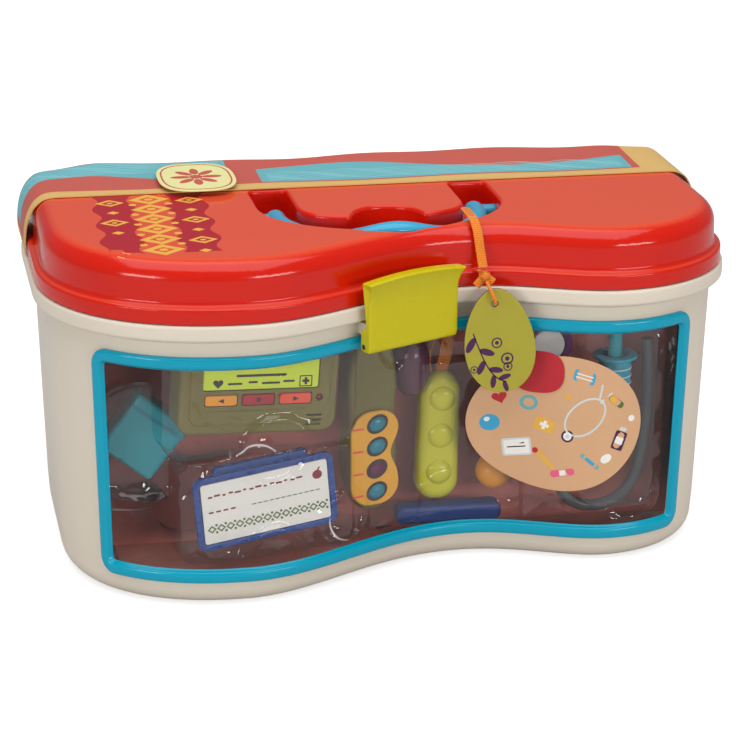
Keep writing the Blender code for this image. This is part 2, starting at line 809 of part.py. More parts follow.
def hinge_tongue(side):
    """The lid's knuckle and its web."""
    axis_y, axis_z = hinge_axis()
    low = side * HINGE_X - KNUCKLE_LID_L / 2.0
    high = low + KNUCKLE_LID_L
    tongue = rod("lid_knuckle", (low, axis_y, axis_z), (high, axis_y, axis_z), KNUCKLE_R)
    root_y = BACK_Y - LID_SKIRT_INSET - LID_WALL / 2.0
    outline = [(low, root_y), (high, root_y), (high, axis_y), (low, axis_y)]
    web = prism("lid_web", outline, LID_SKIRT_Z + SEAT_GAP, axis_z + WEB_RISE)
    return combine(tongue, web, "UNION")


def hinge_bore(side, label):
    axis_y, axis_z = hinge_axis()
    reach = KNUCKLE_LID_L / 2.0 + KNUCKLE_TUB_L + OVERRUN
    return rod("hinge_bore_" + label, (side * HINGE_X - reach, axis_y, axis_z),
               (side * HINGE_X + reach, axis_y, axis_z), HINGE_PIN_R + PIN_PLAY)


def make_hinge_pin(side, name, paint):
    axis_y, axis_z = hinge_axis()
    reach = KNUCKLE_LID_L / 2.0 + KNUCKLE_TUB_L
    return rod(name, (side * HINGE_X - reach, axis_y, axis_z),
               (side * HINGE_X + reach, axis_y, axis_z), HINGE_PIN_R, paint=paint)


def scoop_front(x, grow):
    """How far forward the finger scoop in front of the grip reaches."""
    across = (x - SCOOP_X) / (SCOOP_HALF + grow)
    if abs(across) >= 1.0:
        return 0.0
    return SCOOP_BACK + (SCOOP_FRONT + grow - SCOOP_BACK) * sqrt(1.0 - across * across)


def recess_outline(grow):
    """The handle recess: straight sides at the back, a half round front and a scoop."""
    half = RECESS_HALF + grow
    front = RECESS_FRONT + grow
    points = [(half, RECESS_BACK_Y + grow), (-half, RECESS_BACK_Y + grow)]
    for step in range(2 * RECESS_STEPS + 1):
        turn = pi + pi * step / (2 * RECESS_STEPS)
        x = half * cos(turn)
        points.append((x, min(front * sin(turn), -scoop_front(x, grow))))
    return points


def island_outline(shrink):
    """The lid's tongue between the slots, with the finger notch in its front."""
    half = ISLAND_HALF - shrink
    front = ISLAND_FRONT - shrink
    notch = NOTCH_HALF + shrink
    deep = NOTCH_DEPTH + shrink
    back = RECESS_BACK_Y + RECESS_WALL + OVERRUN
    power = 2.0 / ISLAND_SQUARENESS
    points = [(half, back), (-half, back)]
    for step in range(RECESS_STEPS):
        turn = pi / 2.0 * step / RECESS_STEPS
        x = -half * cos(turn) ** power
        if x > -notch - SMALL_ROUND:
            break
        points.append((x, -front * sin(turn) ** power))
    share = (1.0 - (notch / half) ** ISLAND_SQUARENESS) ** (1.0 / ISLAND_SQUARENESS)
    mouth = -front * share
    for step in range(RECESS_STEPS + 1):
        turn = pi * step / RECESS_STEPS
        points.append((-notch * cos(turn), mouth + deep * sin(turn)))
    points += [(-x, y) for x, y in reversed(points[2:-RECESS_STEPS - 1])]
    return points


def make_lid(paint):
    side_z = LID_TOP_Z - LID_SHOULDER_R
    side_inset = LID_SIDE_INSET + LID_SIDE_LEAN
    profile = [(LID_SKIRT_INSET, LID_SKIRT_Z), (LID_SKIRT_INSET, LID_BAND_Z)]
    profile += [(LID_SKIRT_INSET + LID_STEP_ROUND, LID_BAND_Z + LID_STEP_ROUND)]
    profile += [(LID_SIDE_INSET - LID_STEP_ROUND, LID_STEP_Z - LID_STEP_ROUND)]
    profile += [(LID_SIDE_INSET, LID_STEP_Z)]
    profile += quarter(side_inset, side_z, LID_SHOULDER_R, SHOULDER_STEPS)
    lid = tier("lid_shell", profile, paint)
    for side in (-1, 1):
        combine(lid, hinge_tongue(side), "UNION")
    inner_r = LID_SHOULDER_R - LID_WALL
    inner_inset = side_inset + LID_WALL
    hollow = [(LID_SKIRT_INSET + LID_WALL, LID_SKIRT_Z - OVERRUN)]
    hollow += [(LID_SKIRT_INSET + LID_WALL, LID_BAND_Z)]
    hollow += [(LID_SIDE_INSET + LID_WALL, LID_STEP_Z)]
    hollow += quarter(inner_inset, side_z, inner_r, 3)
    inside = tier("lid_hollow", hollow)
    well = prism("recess_well", recess_outline(RECESS_WALL), RECESS_FLOOR_Z - RECESS_WALL,
                 LID_TOP_Z + OVERRUN)
    combine(well, prism("island_core", island_outline(RECESS_WALL),
                        RECESS_FLOOR_Z - RECESS_WALL - OVERRUN,
                        LID_TOP_Z + 2.0 * OVERRUN), "DIFFERENCE")
    combine(inside, well, "DIFFERENCE")
    combine(lid, inside, "DIFFERENCE")
    channel = prism("recess_channel", recess_outline(0.0), RECESS_FLOOR_Z,
                    LID_TOP_Z + OVERRUN)
    combine(channel, prism("island", island_outline(0.0), RECESS_FLOOR_Z - OVERRUN,
                           LID_TOP_Z + 2.0 * OVERRUN), "DIFFERENCE")
    combine(lid, channel, "DIFFERENCE")
    socket = RECESS_HALF + TRUNNION_DEPTH + SEAT_GAP
    combine(lid, rod("trunnion_bore", (-socket, HANDLE_PIVOT_Y, HANDLE_PIVOT_Z),
                     (-HANDLE_HALF, HANDLE_PIVOT_Y, HANDLE_PIVOT_Z),
                     TRUNNION_R + PIN_PLAY), "DIFFERENCE")
    combine(lid, rod("trunnion_bore", (HANDLE_HALF, HANDLE_PIVOT_Y, HANDLE_PIVOT_Z),
                     (socket, HANDLE_PIVOT_Y, HANDLE_PIVOT_Z),
                     TRUNNION_R + PIN_PLAY), "DIFFERENCE")
    for side in (-1, 1):
        combine(lid, hinge_bore(side, "lid"), "DIFFERENCE")
    return lid


def make_handle(paint):
    """The bail: an oval section swept round a half ellipse, heels round the pivots."""
    rings = []
    for step in range(HANDLE_STEPS + 1):
        turn = pi * step / HANDLE_STEPS
        grip = sin(turn) ** 2
        centre = Vector((-HANDLE_HALF * cos(turn), HANDLE_PIVOT_Y - HANDLE_REACH * sin(turn),
                         HANDLE_PIVOT_Z + HANDLE_GRIP_RISE * grip))
        along = Vector((HANDLE_HALF * sin(turn), -HANDLE_REACH * cos(turn))).normalized()
        across = Vector((along.y, -along.x, 0.0))
        wide = (HANDLE_ARM_W + (HANDLE_GRIP_W - HANDLE_ARM_W) * grip) / 2.0
        rings.append([centre + across * (wide * cos(2.0 * pi * side / HANDLE_SIDES))
                      + Vector((0.0, 0.0, HANDLE_THICK / 2.0
                                * sin(2.0 * pi * side / HANDLE_SIDES)))
                      for side in range(HANDLE_SIDES)])
    for first, place in ((True, rings[0]), (False, rings[-1])):
        back = Vector((0.0, HANDLE_HEEL, 0.0))
        heel = [point + back * HEEL_SHARE for point in place]
        middle = sum(heel, Vector((0.0, 0.0, 0.0))) / len(heel)
        tip = [middle + (point - middle) * HEEL_TIP_SHARE + back * (1.0 - HEEL_SHARE)
               for point in heel]
        rings = [tip, heel] + rings if first else rings + [heel, tip]
    bail = loft("handle_bail", rings, paint)
    reach = RECESS_HALF + TRUNNION_DEPTH
    for side in (-1, 1):
        pin = rod("trunnion", (side * HANDLE_HALF, HANDLE_PIVOT_Y, HANDLE_PIVOT_Z),
                  (side * reach, HANDLE_PIVOT_Y, HANDLE_PIVOT_Z), TRUNNION_R)
        combine(bail, pin, "UNION")
    return bail


def latch_place(along, out, height):
    """A point in the latch's own axes: along its hinge, out from it, and up."""
    return (LATCH_X + along * cos(LATCH_YAW) + out * sin(LATCH_YAW),
            LATCH_Y + along * sin(LATCH_YAW) - out * cos(LATCH_YAW), height)


def latch_prism(name, outline, start, end, paint=None):
    """Extrude an outline of (out, height) along the latch's hinge."""
    rings = [[latch_place(along, out, height) for out, height in outline]
             for along in (end, start)]
    return loft(name, rings, paint)


def latch_lug(side):
    """The tub's lug that carries the latch pin below the rim."""
    back = -LUG_REACH
    start = side * (LATCH_WIDTH / 2.0 - LATCH_CHEEK - RUN_GAP)
    end = start - side * LUG_WIDTH
    low, high = sorted((start, end))
    outline = []
    for step in range(9):
        turn = -pi + pi * step / 8.0
        outline.append((LATCH_EYE_R * cos(turn), LATCH_Z + LATCH_EYE_R * sin(turn)))
    outline += [(LATCH_EYE_R, LUG_UNDER_Z), (0.0, LUG_TOP_Z), (back, LUG_TOP_Z)]
    outline += [(back, LUG_UNDER_Z), (-LATCH_EYE_R, LUG_UNDER_Z)]
    return latch_prism("latch_lug", outline, low, high)


def latch_bore(radius):
    reach = LATCH_WIDTH / 2.0 + OVERRUN
    return rod("latch_bore", latch_place(-reach, 0.0, LATCH_Z),
               latch_place(reach, 0.0, LATCH_Z), radius)


def make_latch_pin(paint):
    reach = LATCH_WIDTH / 2.0
    return rod("latch_pin", latch_place(-reach, 0.0, LATCH_Z),
               latch_place(reach, 0.0, LATCH_Z), LATCH_PIN_R, paint=paint)


def latch_face(inset):
    """The latch's front profile from its foot to its flared lip."""
    mid_z = (LATCH_FLARE_Z + LATCH_TOP_Z) / 2.0
    flare = LATCH_LIP_OUT - LATCH_FRONT
    return [(LATCH_FRONT - inset, LATCH_Z), (LATCH_FRONT - inset, LATCH_FLARE_Z),
            (LATCH_FRONT + flare / 3.0 - inset, mid_z),
            (LATCH_LIP_OUT - inset, LATCH_TOP_Z - inset)]


def make_latch(paint):
    """A hollow latch: front plate, flared lip and two cheeks with eyes."""
    outline = []
    for step in range(5):
        turn = -pi + pi / 2.0 * step / 4.0
        outline.append((LATCH_EYE_R * cos(turn), LATCH_Z + LATCH_EYE_R * sin(turn)))
    outline += [(LATCH_FRONT - LATCH_EYE_R / 2.0, LATCH_Z - LATCH_EYE_R)]
    outline += latch_face(0.0)
    outline += [(LATCH_LIP_BACK, LATCH_TOP_Z - LATCH_LIP_FALL)]
    outline += [(LATCH_LIP_BACK, LUG_TOP_Z), (-LATCH_EYE_R, LUG_TOP_Z - LATCH_EYE_R)]
    half = LATCH_WIDTH / 2.0
    latch = latch_prism("latch_plate", outline, -half, half, paint)
    inner = half - LATCH_CHEEK
    back = -LATCH_EYE_R - OVERRUN
    hollow = [(back, LATCH_Z - LATCH_EYE_R - OVERRUN)]
    hollow += [(LATCH_FRONT - LATCH_PLATE, LATCH_Z - LATCH_EYE_R - OVERRUN)]
    hollow += latch_face(LATCH_PLATE)
    hollow += [(back, LATCH_TOP_Z - LATCH_LIP_FALL - LATCH_PLATE)]
    combine(latch, latch_prism("latch_hollow", hollow, -inner, inner), "DIFFERENCE")
    combine(latch, latch_bore(LATCH_PIN_R + PIN_PLAY), "DIFFERENCE")
    return latch


def sleeve_path(lift):
    """The sleeve's line over the lid, as (x, z), from the left end to the right."""
    half = CASE_WIDTH / 2.0 - LID_SKIRT_INSET
    flat = CASE_WIDTH / 2.0 - LID_SIDE_INSET - LID_SIDE_LEAN - LID_SHOULDER_R
    over = LID_TOP_Z + lift
    side = half + RUN_GAP + lift
    bulge = side + SLEEVE_BULGE
    middle = (SLEEVE_LOW_Z + LID_TOP_Z) / 2.0
    left = [(-side, SLEEVE_LOW_Z), (-(side + bulge) / 2.0, (SLEEVE_LOW_Z + middle) / 2.0)]
    left += [(-bulge, middle), (-side - SLEEVE_BULGE / 2.0, LID_TOP_Z - LID_SHOULDER_R / 2.0)]
    left_out, left_fall = SLEEVE_LEFT_SHARES
    right_out, right_fall = SLEEVE_RIGHT_SHARES
    left += [(-flat - LID_SHOULDER_R * left_out, over - LID_SHOULDER_R * left_fall)]
    right = [(flat + LID_SHOULDER_R * right_out, over)]
    right += [(side, LID_TOP_Z - LID_SHOULDER_R * right_fall), (side, SLEEVE_LOW_Z)]
    return left + [(-flat, over), (0.0, over)] + right


def make_sleeve(paint):
    outline = list(reversed(sleeve_path(SEAT_GAP)))
    outline += sleeve_path(SEAT_GAP + SLEEVE_THICK)
    return slab("sleeve_band", list(reversed(outline)), SLEEVE_FRONT_Y, SLEEVE_BACK_Y, paint)


def make_sleeve_tab(paint):
    deep = (SLEEVE_TAB_BACK_Y - SLEEVE_TAB_FRONT_Y) / 2.0
    middle = (SLEEVE_TAB_BACK_Y + SLEEVE_TAB_FRONT_Y) / 2.0
    low = LID_TOP_Z + SEAT_GAP + SLEEVE_THICK + SEAT_GAP
    outline = [(SLEEVE_TAB_X + x, middle + y)
               for x, y in disc_outline(SLEEVE_TAB_HALF, deep, squareness=SLEEVE_TAB_SQUARENESS)]
    return prism("sleeve_tab", outline, low, low + SLEEVE_THICK, paint)


def patch(name, x, z, half_w, half_h, deep, squareness, paint):
    """A thin rounded patch that follows the pane, built column by column."""
    middle = run_at(x, z)
    columns = PATCH_COLUMNS
    rings = []
    for step in range(columns + 1):
        across = -cos(pi * (step + 0.5) / (columns + 1))
        up = (1.0 - abs(across) ** squareness) ** (1.0 / squareness)
        run = middle + half_w * across
        rings.append([wall_point(run, z + half_h * up, deep + STICKER_THICK),
                      wall_point(run, z - half_h * up, deep + STICKER_THICK),
                      wall_point(run, z - half_h * up, deep),
                      wall_point(run, z + half_h * up, deep)])
    return loft(name, rings, paint)


def make_card(paint):
    outline = [(-CARD_HALF, TUB_FLOOR + SEAT_GAP), (CARD_HALF, TUB_FLOOR + SEAT_GAP)]
    outline += [(CARD_HALF, CARD_HIGH_Z), (-CARD_HALF, CARD_HIGH_Z)]
    return slab("backing_card", outline, CARD_Y - CARD_THICK / 2.0,
                CARD_Y + CARD_THICK / 2.0, paint)


def inner_wall_y(x, height):
    return wall_point(run_at(x, height), height, -TUB_WALL).y


POCKETS = [
    (BLOCK_X, BLOCK_Z, BLOCK_W * BLOCK_REACH_SHARE, BLOCK_H * BLOCK_REACH_SHARE,
     BLOCK_Y - BLOCK_D / 2.0, 0.0),
    (PAGER_X, PAGER_Z, PAGER_W / 2.0, PAGER_H / 2.0, PAGER_Y - BUTTON_PROUD, PAGER_YAW),
    (BADGE_X, BADGE_Z, BADGE_W / 2.0, BADGE_H / 2.0, BADGE_Y, BADGE_YAW),
    (HANDSET_X, HANDSET_Z, HANDSET_HALF, HANDSET_H / 2.0,
     HANDSET_Y - HANDSET_PLATE_THICK - GEM_RISE - SEAT_GAP, HANDSET_YAW),
    (STICK_X, STICK_Z, STICK_R, STICK_L / 2.0, STICK_Y - BUMP_RISE, 0.0),
    (BALL_X, BALL_Z, BALL_R, BALL_R, BALL_Y - BALL_R + BALL_SEAT, 0.0),
    (BAR_X, BAR_Z, BAR_L / 2.0, BAR_H / 2.0, BAR_Y, 0.0),
    (CHEST_X, CHEST_Z, CHEST_R, CHEST_R, CHEST_Y - CHEST_DISC_D - SEAT_GAP, 0.0),
    (LACE_X, LACE_Z, LACE_D, LACE_H / 2.0, LACE_Y - LACE_D, 0.0),
    (TUBE_X, TUBE_Z, TUBE_HALF_W, TUBE_HALF_H, TUBE_Y - TUBE_D, 0.0),
    (SYRINGE_X, SYRINGE_Z, BARREL_GRIP_R, BARREL_L, SYRINGE_Y - BARREL_GRIP_R, 0.0)]


def tray_front(x, height):
    """How far forward the tray's pockets reach at a place, as a y."""
    edge_x = CARD_HALF - abs(x)
    edge_z = min(height - TRAY_LOW_Z, TRAY_HIGH_Z - height)
    climb = max(0.0, min(1.0, min(edge_x, edge_z) / TRAY_EDGE))
    front = TRAY_FLANGE_Y
    for mid_x, mid_z, half_x, half_z, face_y, yaw in POCKETS:
        beyond = max(abs(x - mid_x) - half_x, abs(height - mid_z) - half_z, 0.0)
        share = max(0.0, min(1.0, 1.0 - (beyond - POCKET_MARGIN) / POCKET_SLOPE))
        across = max(-half_x, min(half_x, x - mid_x))
        face = face_y + across * tan(yaw) - POCKET_GAP - TRAY_THICK
        front = min(front, TRAY_FLANGE_Y + (face - TRAY_FLANGE_Y) * share)
    limit = inner_wall_y(x, height) + TRAY_REACH
    front = max(front, limit)
    return TRAY_FLANGE_Y + (front - TRAY_FLANGE_Y) * climb


def stations(low, high, count):
    """Even places between two edges, with one more at the foot of each sloped edge."""
    inner_low = low + TRAY_EDGE
    inner_high = high - TRAY_EDGE
    places = [inner_low + (inner_high - inner_low) * step / (count - 2)
              for step in range(count - 1)]
    return [low] + places + [high]


def make_tray(paint):
    """The clear tray: a thin formed sheet, open at the back, over the toys."""
    points = []
    heights = stations(TRAY_LOW_Z, TRAY_HIGH_Z, TRAY_ROWS)
    places = stations(-CARD_HALF, CARD_HALF, TRAY_COLUMNS)
    for layer in (0, 1):
        for height in heights:
            for x in places:
                points.append((x, tray_front(x, height) + layer * TRAY_THICK, height))
    stride = TRAY_COLUMNS + 1
    size = stride * (TRAY_ROWS + 1)
    faces = []
    for row in range(TRAY_ROWS):
        for column in range(TRAY_COLUMNS):
            here = row * stride + column
            for corner in ((here, here + 1, here + stride + 1),
                           (here, here + stride + 1, here + stride)):
                faces.append(corner)
                faces.append(tuple(number + size for number in reversed(corner)))
    border = list(range(TRAY_COLUMNS)) + [row * stride + TRAY_COLUMNS for row in range(TRAY_ROWS)]
    border += [TRAY_ROWS * stride + column for column in range(TRAY_COLUMNS, 0, -1)]
    border += [row * stride for row in range(TRAY_ROWS, 0, -1)]
    for here, after in zip(border, border[1:] + border[:1]):
        faces.append((here, here + size, after + size))
        faces.append((here, after + size, after))
    return mesh_object("blister_tray", points, faces, paint)


def cord(name, points, diameter, paint):
    """A round cord along hand-placed points, as a curve with a bevel."""
    curve = bpy.data.curves.new(name, "CURVE")
    curve.dimensions = "3D"
    line = curve.splines.new("POLY")
    line.points.add(len(points) - 1)
    for place, point in zip(line.points, points):
        place.co = (*point, 1.0)
    curve.bevel_depth = diameter / 2.0
    curve.bevel_resolution = 2
    curve.use_fill_caps = True
    item = bpy.data.objects.new(name, curve)
    bpy.context.scene.collection.objects.link(item)
    curve.materials.append(paint)
    return item


def make_knot(paint):
    rings = []
    for step in range(1, 8):
        turn = pi * step / 8.0
        reach = KNOT_R * sin(turn)
        rings.append([(reach * cos(2.0 * pi * side / 12), reach * sin(2.0 * pi * side / 12),
                       -KNOT_R * cos(turn)) for side in range(12)])
    return move(loft("ribbon_knot", rings, paint), (KNOT_X, KNOT_Y, KNOT_Z))


def tag_outline():
    """An egg: narrow at the hole, broad below."""
    middle = (TAG_TOP_Z + TAG_BOTTOM_Z) / 2.0
    tall = (TAG_TOP_Z - TAG_BOTTOM_Z) / 2.0
    outline = []
    for step in range(TAG_SIDES):
        turn = 2.0 * pi * step / TAG_SIDES
        broad = 1.0 - TAG_EGG_SHARE * sin(turn)
        lean = TAG_EGG_SHARE * TAG_HALF * sin(turn)
        outline.append((TAG_X - lean + TAG_HALF * broad * cos(turn), middle + tall * sin(turn)))
    return outline


def make_tag(name, shift, paint):
    front = TAG_Y + shift
    tag = slab(name, tag_outline(), front, front + TAG_THICK, paint)
    hole = rod(name + "_hole", (TAG_HOLE_X, front - OVERRUN, TAG_HOLE_Z),
               (TAG_HOLE_X, front + OVERRUN, TAG_HOLE_Z), TAG_HOLE_R, ROUND_SIDES // 2)
    return combine(tag, hole, "DIFFERENCE")


def pager_place(x, out, z):
    """A place on the pager's front, in its own axes."""
    return pager_turned(x, -out, z)


def pager_turned(x, y, z):
    roll_x = x * cos(PAGER_ROLL) + z * sin(PAGER_ROLL)
    roll_z = -x * sin(PAGER_ROLL) + z * cos(PAGER_ROLL)
    return (PAGER_X + roll_x * cos(PAGER_YAW) - y * sin(PAGER_YAW),
            PAGER_Y + roll_x * sin(PAGER_YAW) + y * cos(PAGER_YAW), PAGER_Z + roll_z)


PAGER_TURN = (0.0, PAGER_ROLL, PAGER_YAW)


def make_pager(paints):
    case = slab("pager_case", rounded_box(PAGER_W / 2.0, PAGER_H / 2.0, PAGER_CORNER, 5),
                0.0, PAGER_D, paints["olive"])
    move(soften(case, SOFT_ROUND, 2), pager_place(0.0, 0.0, 0.0), PAGER_TURN)
    screen_well = slab("screen_well",
                       [(x, z + SCREEN_RISE) for x, z in rounded_box(
                           SCREEN_W / 2.0 + RUN_GAP, SCREEN_H / 2.0 + RUN_GAP, SMALL_ROUND)],
                       -OVERRUN, SCREEN_SINK + SEAT_GAP)
    combine(case, move(screen_well, pager_place(0.0, 0.0, 0.0), PAGER_TURN), "DIFFERENCE")
    screen = slab("pager_screen",
                  rounded_box(SCREEN_W / 2.0, SCREEN_H / 2.0, SMALL_ROUND),
                  SCREEN_SINK - SCREEN_THICK, SCREEN_SINK, paints["screen"])
    move(screen, pager_place(0.0, 0.0, SCREEN_RISE), PAGER_TURN)
    deep = BUTTON_DEEP + BUTTON_TRAVEL + SEAT_GAP
    for number, name in ((-1, "amber"), (0, "crimson"), (1, "coral")):
        x = BUTTON_SHIFT + number * BUTTON_PITCH
        well = slab("button_well",
                    [(px + x, pz - BUTTON_DROP) for px, pz in rounded_box(
                        BUTTON_W / 2.0 + RUN_GAP, BUTTON_H / 2.0 + RUN_GAP, SMALL_ROUND)],
                    -OVERRUN, deep)
        combine(case, move(well, pager_place(0.0, 0.0, 0.0), PAGER_TURN), "DIFFERENCE")
        button = slab("pager_button_" + str(number + 2),
                      rounded_box(BUTTON_W / 2.0, BUTTON_H / 2.0, SMALL_ROUND),
                      -BUTTON_PROUD, BUTTON_DEEP, paints[name])
        soften(button, SMALL_ROUND / 3.0)
        move(button, pager_place(x, 0.0, -BUTTON_DROP), PAGER_TURN)
    for number in range(3):
        z = -SLOT_DROP - number * SLOT_PITCH
        slot = slab("speaker_slot", [(px + SLOT_SHIFT, pz + z) for px, pz in rounded_box(
            SLOT_W / 2.0, SLOT_H / 2.0, SLOT_H / 2.5, 2)], -OVERRUN, SLOT_DEEP)
        combine(case, move(slot, pager_place(0.0, 0.0, 0.0), PAGER_TURN), "DIFFERENCE")
    light_well = rod("light_well", pager_place(LIGHT_SHIFT, OVERRUN, -BUTTON_DROP),
                     pager_place(LIGHT_SHIFT, -BUTTON_DEEP - SEAT_GAP, -BUTTON_DROP),
                     LIGHT_R + SEAT_GAP)
    combine(case, light_well, "DIFFERENCE")
    rod("pager_light", pager_place(LIGHT_SHIFT, BUTTON_PROUD / 3.0, -BUTTON_DROP),
        pager_place(LIGHT_SHIFT, -BUTTON_DEEP, -BUTTON_DROP), LIGHT_R, paint=paints["ruby"])


def make_badge(paints):
    turn = (0.0, BADGE_ROLL, BADGE_YAW)
    place = (BADGE_X, BADGE_Y, BADGE_Z)
    frame = slab("badge_frame", rounded_box(BADGE_W / 2.0, BADGE_H / 2.0, BADGE_CORNER),
                 0.0, BADGE_D, paints["navy"])
    card_w = BADGE_W / 2.0 - BADGE_LIP
    card_h = BADGE_H / 2.0 - BADGE_LIP
    well = slab("badge_well", rounded_box(card_w + RUN_GAP, card_h + RUN_GAP,
                                          BADGE_CORNER - BADGE_LIP + RUN_GAP),
                -OVERRUN, BADGE_CARD_SINK + SEAT_GAP)
    move(frame, place, turn)
    combine(frame, move(well, place, turn), "DIFFERENCE")
    card = slab("badge_card", rounded_box(card_w, card_h, BADGE_CORNER - BADGE_LIP),
                BADGE_CARD_SINK - BADGE_CARD_THICK, BADGE_CARD_SINK, paints["card"])
    move(card, place, turn)
    back = BADGE_D + SEAT_GAP
    clip = slab("badge_clip", [(x, z + CLIP_RISE - CLIP_H / 2.0 + SOFT_ROUND)
                               for x, z in rounded_box(CLIP_W / 2.0, CLIP_H / 2.0,
                                                       BADGE_CORNER)],
                back, back + CLIP_D, paints["navy"])
    move(soften(clip, SMALL_ROUND), place, turn)


def peanut(half_w, half_h, waist, steps=PEANUT_STEPS):
    """An outline with two lobes and a narrow middle, anticlockwise."""
    outline = []
    for step in range(2 * steps):
        turn = pi * step / steps
        z = half_h * sin(turn)
        squeeze = 1.0 - (waist / half_w) * (0.5 + 0.5 * cos(2.0 * pi * z / half_h))
        reach = abs(cos(turn)) ** PEANUT_POWER * (1 if cos(turn) > 0 else -1)
        outline.append((half_w * reach * squeeze, z))
    return outline


def make_handset(paints):
    turn = (0.0, 0.0, HANDSET_YAW)
    place = (HANDSET_X, HANDSET_Y, HANDSET_Z)
    body = slab("handset_body", peanut(HANDSET_HALF, HANDSET_H / 2.0, HANDSET_WAIST),
                0.0, HANDSET_D, paints["olive"])
    move(soften(body, SOFT_ROUND), place, turn)
    back = -SEAT_GAP
    plate = slab("handset_plate", [(x, z - HANDSET_PLATE_DROP) for x, z in peanut(
        HANDSET_PLATE_HALF, HANDSET_PLATE_H / 2.0, HANDSET_PLATE_WAIST)],
        back - HANDSET_PLATE_THICK, back, paints["gold"])
    move(soften(plate, SMALL_ROUND / 2.0), place, turn)
    for number in range(4):
        z = -HANDSET_PLATE_DROP + (1.5 - number) * GEM_PITCH
        outline = disc_outline(GEM_HALF_W, GEM_HALF_H, 12)
        front = back - HANDSET_PLATE_THICK - SEAT_GAP
        rings = []
        for share, rise in GEM_SHARES:
            rings.append([(px * share, front - GEM_RISE * rise, pz * share + z)
                          for px, pz in outline])
        gem = loft("handset_gem_" + str(number + 1), rings,
                   paints["plum" if number == 2 else "teal"])
        move(gem, place, turn)


def make_stick(paints):
    place = (STICK_X, STICK_Y, STICK_Z)
    turn = (0.0, STICK_ROLL, 0.0)
    stick = slab("thermometer_stick", rounded_box(STICK_R, STICK_L / 2.0,
                                                  STICK_R * STICK_CORNER_SHARE, 5),
                 0.0, STICK_D, paints["lime"])
    move(soften(stick, STICK_D / 4.0, 2), place, turn)
    for number in (-1, 0, 1):
        rings = []
        for share, rise in BUMP_SHARES:
            rings.append([(px * share, -BUMP_RISE * rise, pz * share + number * BUMP_PITCH)
                          for px, pz in disc_outline(BUMP_R, BUMP_R, 14)])
        combine(stick, move(loft("stick_bump", rings), place, turn), "UNION")
    cord("stick_lace", LACE_POINTS, LACE_D, paints["orange"])


def make_small_toys(paints):
    block = slab("teal_block", rounded_box(BLOCK_W / 2.0, BLOCK_H / 2.0, SOFT_ROUND),
                 -BLOCK_D / 2.0, BLOCK_D / 2.0, paints["teal"])
    move(soften(block, SOFT_ROUND), (BLOCK_X, BLOCK_Y, BLOCK_Z), (0.0, BLOCK_TURN, 0.0))
    rings = []
    for step in range(1, 10):
        angle = pi * step / 10.0
        reach = BALL_R * sin(angle)
        rings.append([(reach * cos(2.0 * pi * side / 16), reach * sin(2.0 * pi * side / 16),
                       -BALL_R * cos(angle)) for side in range(16)])
    move(loft("hammer_head", rings, paints["amber"]), (BALL_X, BALL_Y, BALL_Z))
    bar = slab("navy_pouch", rounded_box(BAR_L / 2.0, BAR_H / 2.0, BAR_H / 2.5, 3),
               0.0, BAR_D, paints["navy"])
    move(soften(bar, SOFT_ROUND), (BAR_X, BAR_Y, BAR_Z))


def make_stethoscope(paints):
    chest = slab("stethoscope_ring", disc_outline(CHEST_R, CHEST_R), 0.0, CHEST_D,
                 paints["plum"])
    move(soften(chest, SMALL_ROUND), (CHEST_X, CHEST_Y, CHEST_Z))
    disc = slab("stethoscope_disc", disc_outline(CHEST_DISC_R, CHEST_DISC_R),
                -SEAT_GAP - CHEST_DISC_D, -SEAT_GAP, paints["white"])
    move(soften(disc, SMALL_ROUND / 2.0), (CHEST_X, CHEST_Y, CHEST_Z))
    cord("stethoscope_tube", TUBE_POINTS, TUBE_D, paints["smoke"])


def make_syringe(paints):
    low = -BARREL_L / 2.0
    high = BARREL_L / 2.0
    bore = BARREL_R - BARREL_WALL
    tip_share, root_share = NOZZLE_SHARES
    barrel = turned("syringe_barrel",
                    [(BARREL_R * tip_share, low - BARREL_GRIP_T * 2.0),
                     (BARREL_R * root_share, low),
                     (BARREL_R, low), (BARREL_R, high - BARREL_GRIP_T),
                     (BARREL_GRIP_R, high - BARREL_GRIP_T), (BARREL_GRIP_R, high)],
                    paint=paints["aqua"])
    place = (SYRINGE_X, SYRINGE_Y, SYRINGE_Z)
    hole = turned("barrel_hole", [(bore, low + BARREL_WALL), (bore, high + OVERRUN)])
    combine(move(barrel, place), move(hole, place), "DIFFERENCE")
    tip = low + BARREL_WALL + SEAT_GAP + PLUNGER_OUT
    shoulder = tip + PLUNGER_HEAD_T
    cap = high + PLUNGER_OUT + SEAT_GAP
    piston = bore - RUN_GAP
    plunger = turned("syringe_plunger",
                     [(piston, tip), (piston, shoulder), (PLUNGER_ROD_R, shoulder),
                      (PLUNGER_ROD_R, cap), (PLUNGER_CAP_R, cap),
                      (PLUNGER_CAP_R, cap + PLUNGER_CAP_T)], paint=paints["teal"])
    move(plunger, place)


